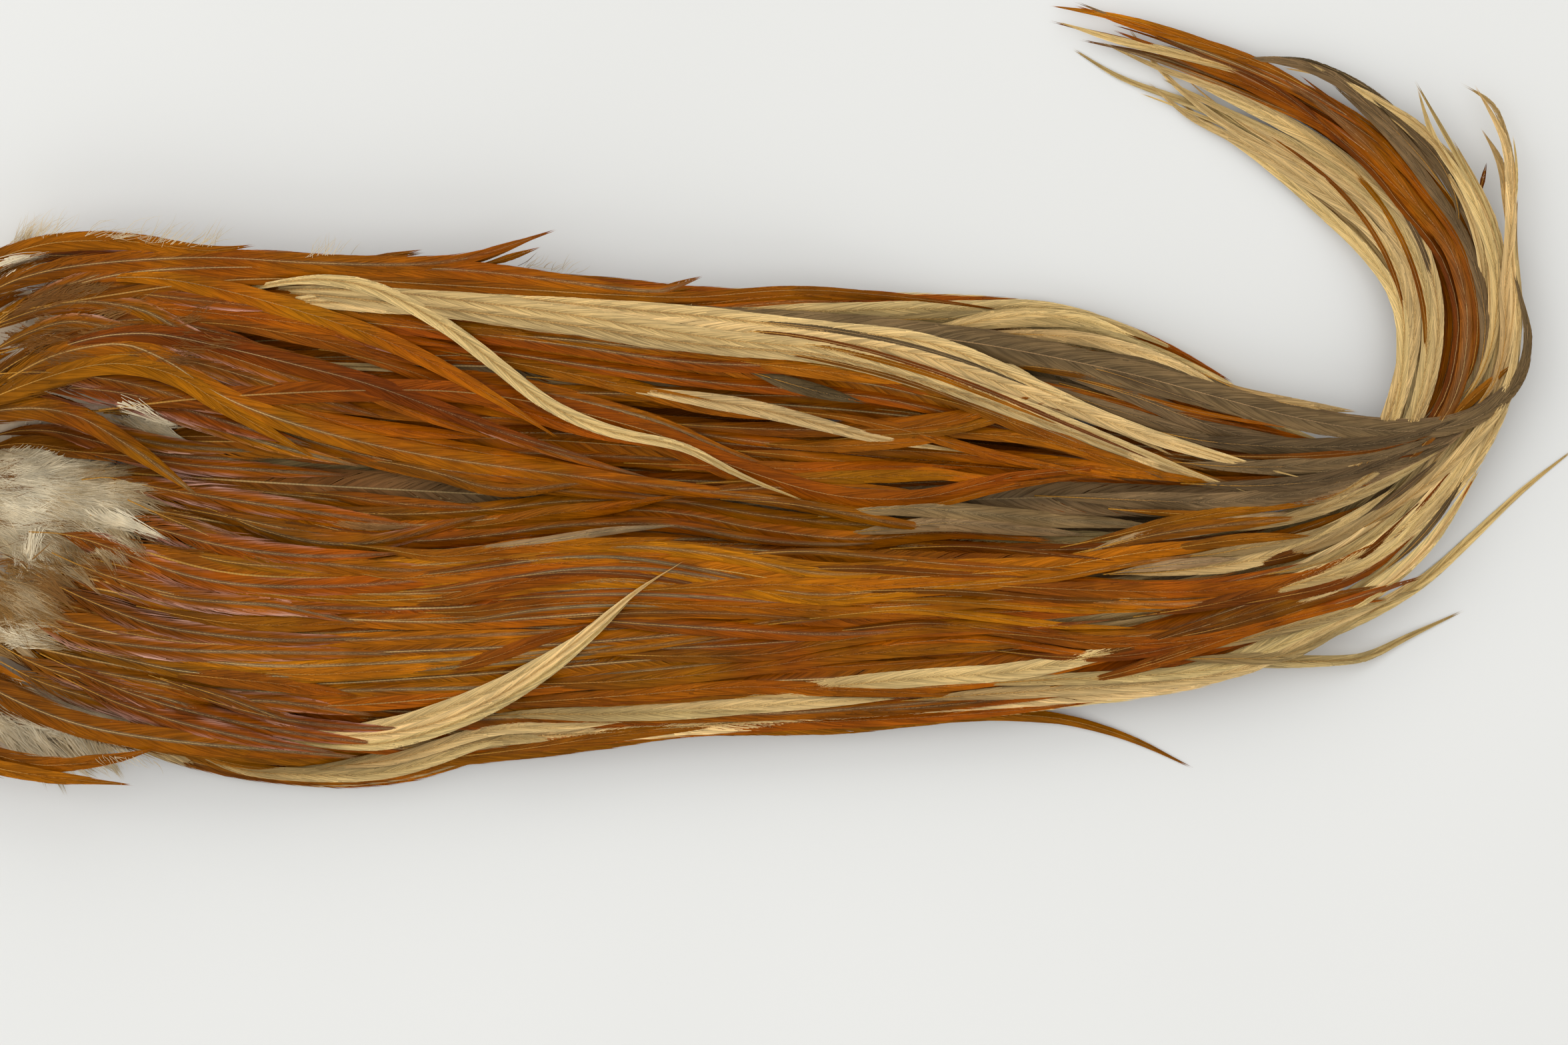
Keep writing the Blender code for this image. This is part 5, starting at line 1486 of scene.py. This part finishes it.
def finish_skin():
    skin = frame["nodes"]["skin"]
    finish = skin_material()
    skin.data.materials.clear()
    skin.data.materials.append(finish)
    tree = tree_of(skin)
    shape, faces = mound_blank()
    rng = np.random.default_rng(3)
    low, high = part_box("skin")
    bundle = Bundle("follicles", "skin", [finish])
    for x in np.arange(low[0], high[0], FOLLICLE_GAP):
        for y in np.arange(low[1], high[1], FOLLICLE_GAP):
            spot = Vector((x, y, 1)) + Vector((*rng.uniform(-0.25, 0.25, 2), 0)) * FOLLICLE_GAP
            top = [tree.ray_cast(spot + Vector((dx, dy, 0)), Vector((0, 0, -1)))[0]
                   for dx, dy in ((0, 0), (MM, 0), (-MM, 0), (0, MM), (0, -MM))]
            if None not in top and spot.x < FOLLICLES_TO:
                bundle.add((shape + np.array(top[0]), faces, np.zeros((len(shape), 5))), (0, 0, 0))
    bundle.build()
    print("follicles", bundle.triangles(), "triangles")


finish_skin()

# %% [markdown]
# ## Loose hairs
#
# Between the feathers grow a few thin hairs. They stick out over the upper edge, pale against the table.

# %% Hairs on the upper edge
HAIR_WIDTH = 0.07 * MM
HAIR_LIFT = 0.3 * MM
HAIR_AREAS = (
    # start, end of the edge, hairs, heading in degrees, length in mm
    ((13, 46.0), (24, 47.0), 60, 52, 5.0), ((26, 46.8), (38, 46.0), 34, 24, 5.0),
    ((38, 45.6), (49, 44.9), 44, 48, 5.0), ((64, 43.4), (71, 43.6), 20, 62, 3.6),
    ((96, 42.4), (108, 41.0), 20, 36, 3.6), ((28, -38.0), (38, -39.6), 20, -42, 3.4),
)


def lay_hairs():
    rng = np.random.default_rng(8)
    bundle = Bundle("loose_hairs", "down", [DOWN])
    for start, end, count, heading, length in HAIR_AREAS:
        share = rng.uniform(0, 1, (count, 1))
        roots = (np.array(start) * (1 - share) + np.array(end) * share + rng.normal(0, 0.25, (count, 2))) * MM
        turn = np.radians(heading + rng.normal(0, 13, count))
        reach = length * rng.uniform(0.5, 1.2, count) * MM
        tips = roots + np.column_stack([np.cos(turn), np.sin(turn)]) * reach[:, None]
        shape, mood = lay_strands(roots, tips, rng, HAIR_WIDTH, rng.uniform(0.2, 1.0, count) * MM,
                                  rng.normal(0, 0.1, count), np.full(count, HAIR_LIFT), np.full(count, 0.75),
                                  np.full(count, 0.8))
        bundle.add(shape, mood)
    bundle.build()
    print("hairs", bundle.triangles(), "triangles")


lay_hairs()

# %% [markdown]
# ## The floor and the light
#
# A pale table, large soft lamps all round it at half height and a wide one above. The lamps at the sides
# shape the feathers, because barbs that lean towards a lamp catch it. The one above keeps the shadows on
# the table soft and light.

# %% Floor and lamps
FLOOR_DROP = 0.2 * MM
FLOOR_SIZE = 4.0
SKY_STRENGTH = 0.47


def add_floor():
    select_nothing()
    bpy.ops.mesh.primitive_plane_add(size=FLOOR_SIZE, location=(VIEW_CENTRE[0], VIEW_CENTRE[1], -FLOOR_DROP))
    floor = bpy.context.object
    floor.name = "floor"
    made, nodes, links, shader = new_material("pale_table")
    shade = cloud(nodes, links, 6.0, (0.81, 0.81, 0.785), (0.83, 0.83, 0.805), 2.0)
    links.new(shade, shader.inputs["Base Color"])
    shader.inputs["Roughness"].default_value = 0.8
    shader.inputs["Specular IOR Level"].default_value = 0.05
    floor.data.materials.append(made)


def add_lamp(name, place, aim, size, power):
    select_nothing()
    bpy.ops.object.light_add(type="AREA", location=place)
    lamp = bpy.context.object
    lamp.name = name
    lamp.data.shape = "RECTANGLE"
    lamp.data.size, lamp.data.size_y = size
    lamp.data.energy = power
    direction = np.array(aim) - np.array(place)
    tilt = math.atan2(math.hypot(direction[0], direction[1]), -direction[2])
    lamp.rotation_euler = (tilt, 0, math.atan2(-direction[0], direction[1]))


def add_light():
    middle = (*VIEW_CENTRE, 0)
    add_lamp("far_lamp", (0.1, 1.6, 1.0), middle, (3.0, 1.6), 13)
    add_lamp("left_lamp", (-1.5, 0.0, 1.0), middle, (1.6, 2.4), 12)
    add_lamp("right_lamp", (1.8, 0.0, 1.0), middle, (1.6, 2.4), 1.5)
    add_lamp("top_lamp", (0.1, 0.1, 1.8), middle, (2.0, 2.0), 9)
    add_lamp("near_lamp", (0.2, -1.7, 1.0), middle, (3.0, 1.6), 9)
    world = bpy.data.worlds.new("studio")
    world.use_nodes = True
    world.node_tree.nodes["Background"].inputs["Color"].default_value = (1, 1, 1, 1)
    world.node_tree.nodes["Background"].inputs["Strength"].default_value = SKY_STRENGTH
    bpy.context.scene.world = world
    bpy.context.scene.view_settings.view_transform = "Standard"


add_floor()
add_light()
print(len(bpy.data.lights), "lamps")
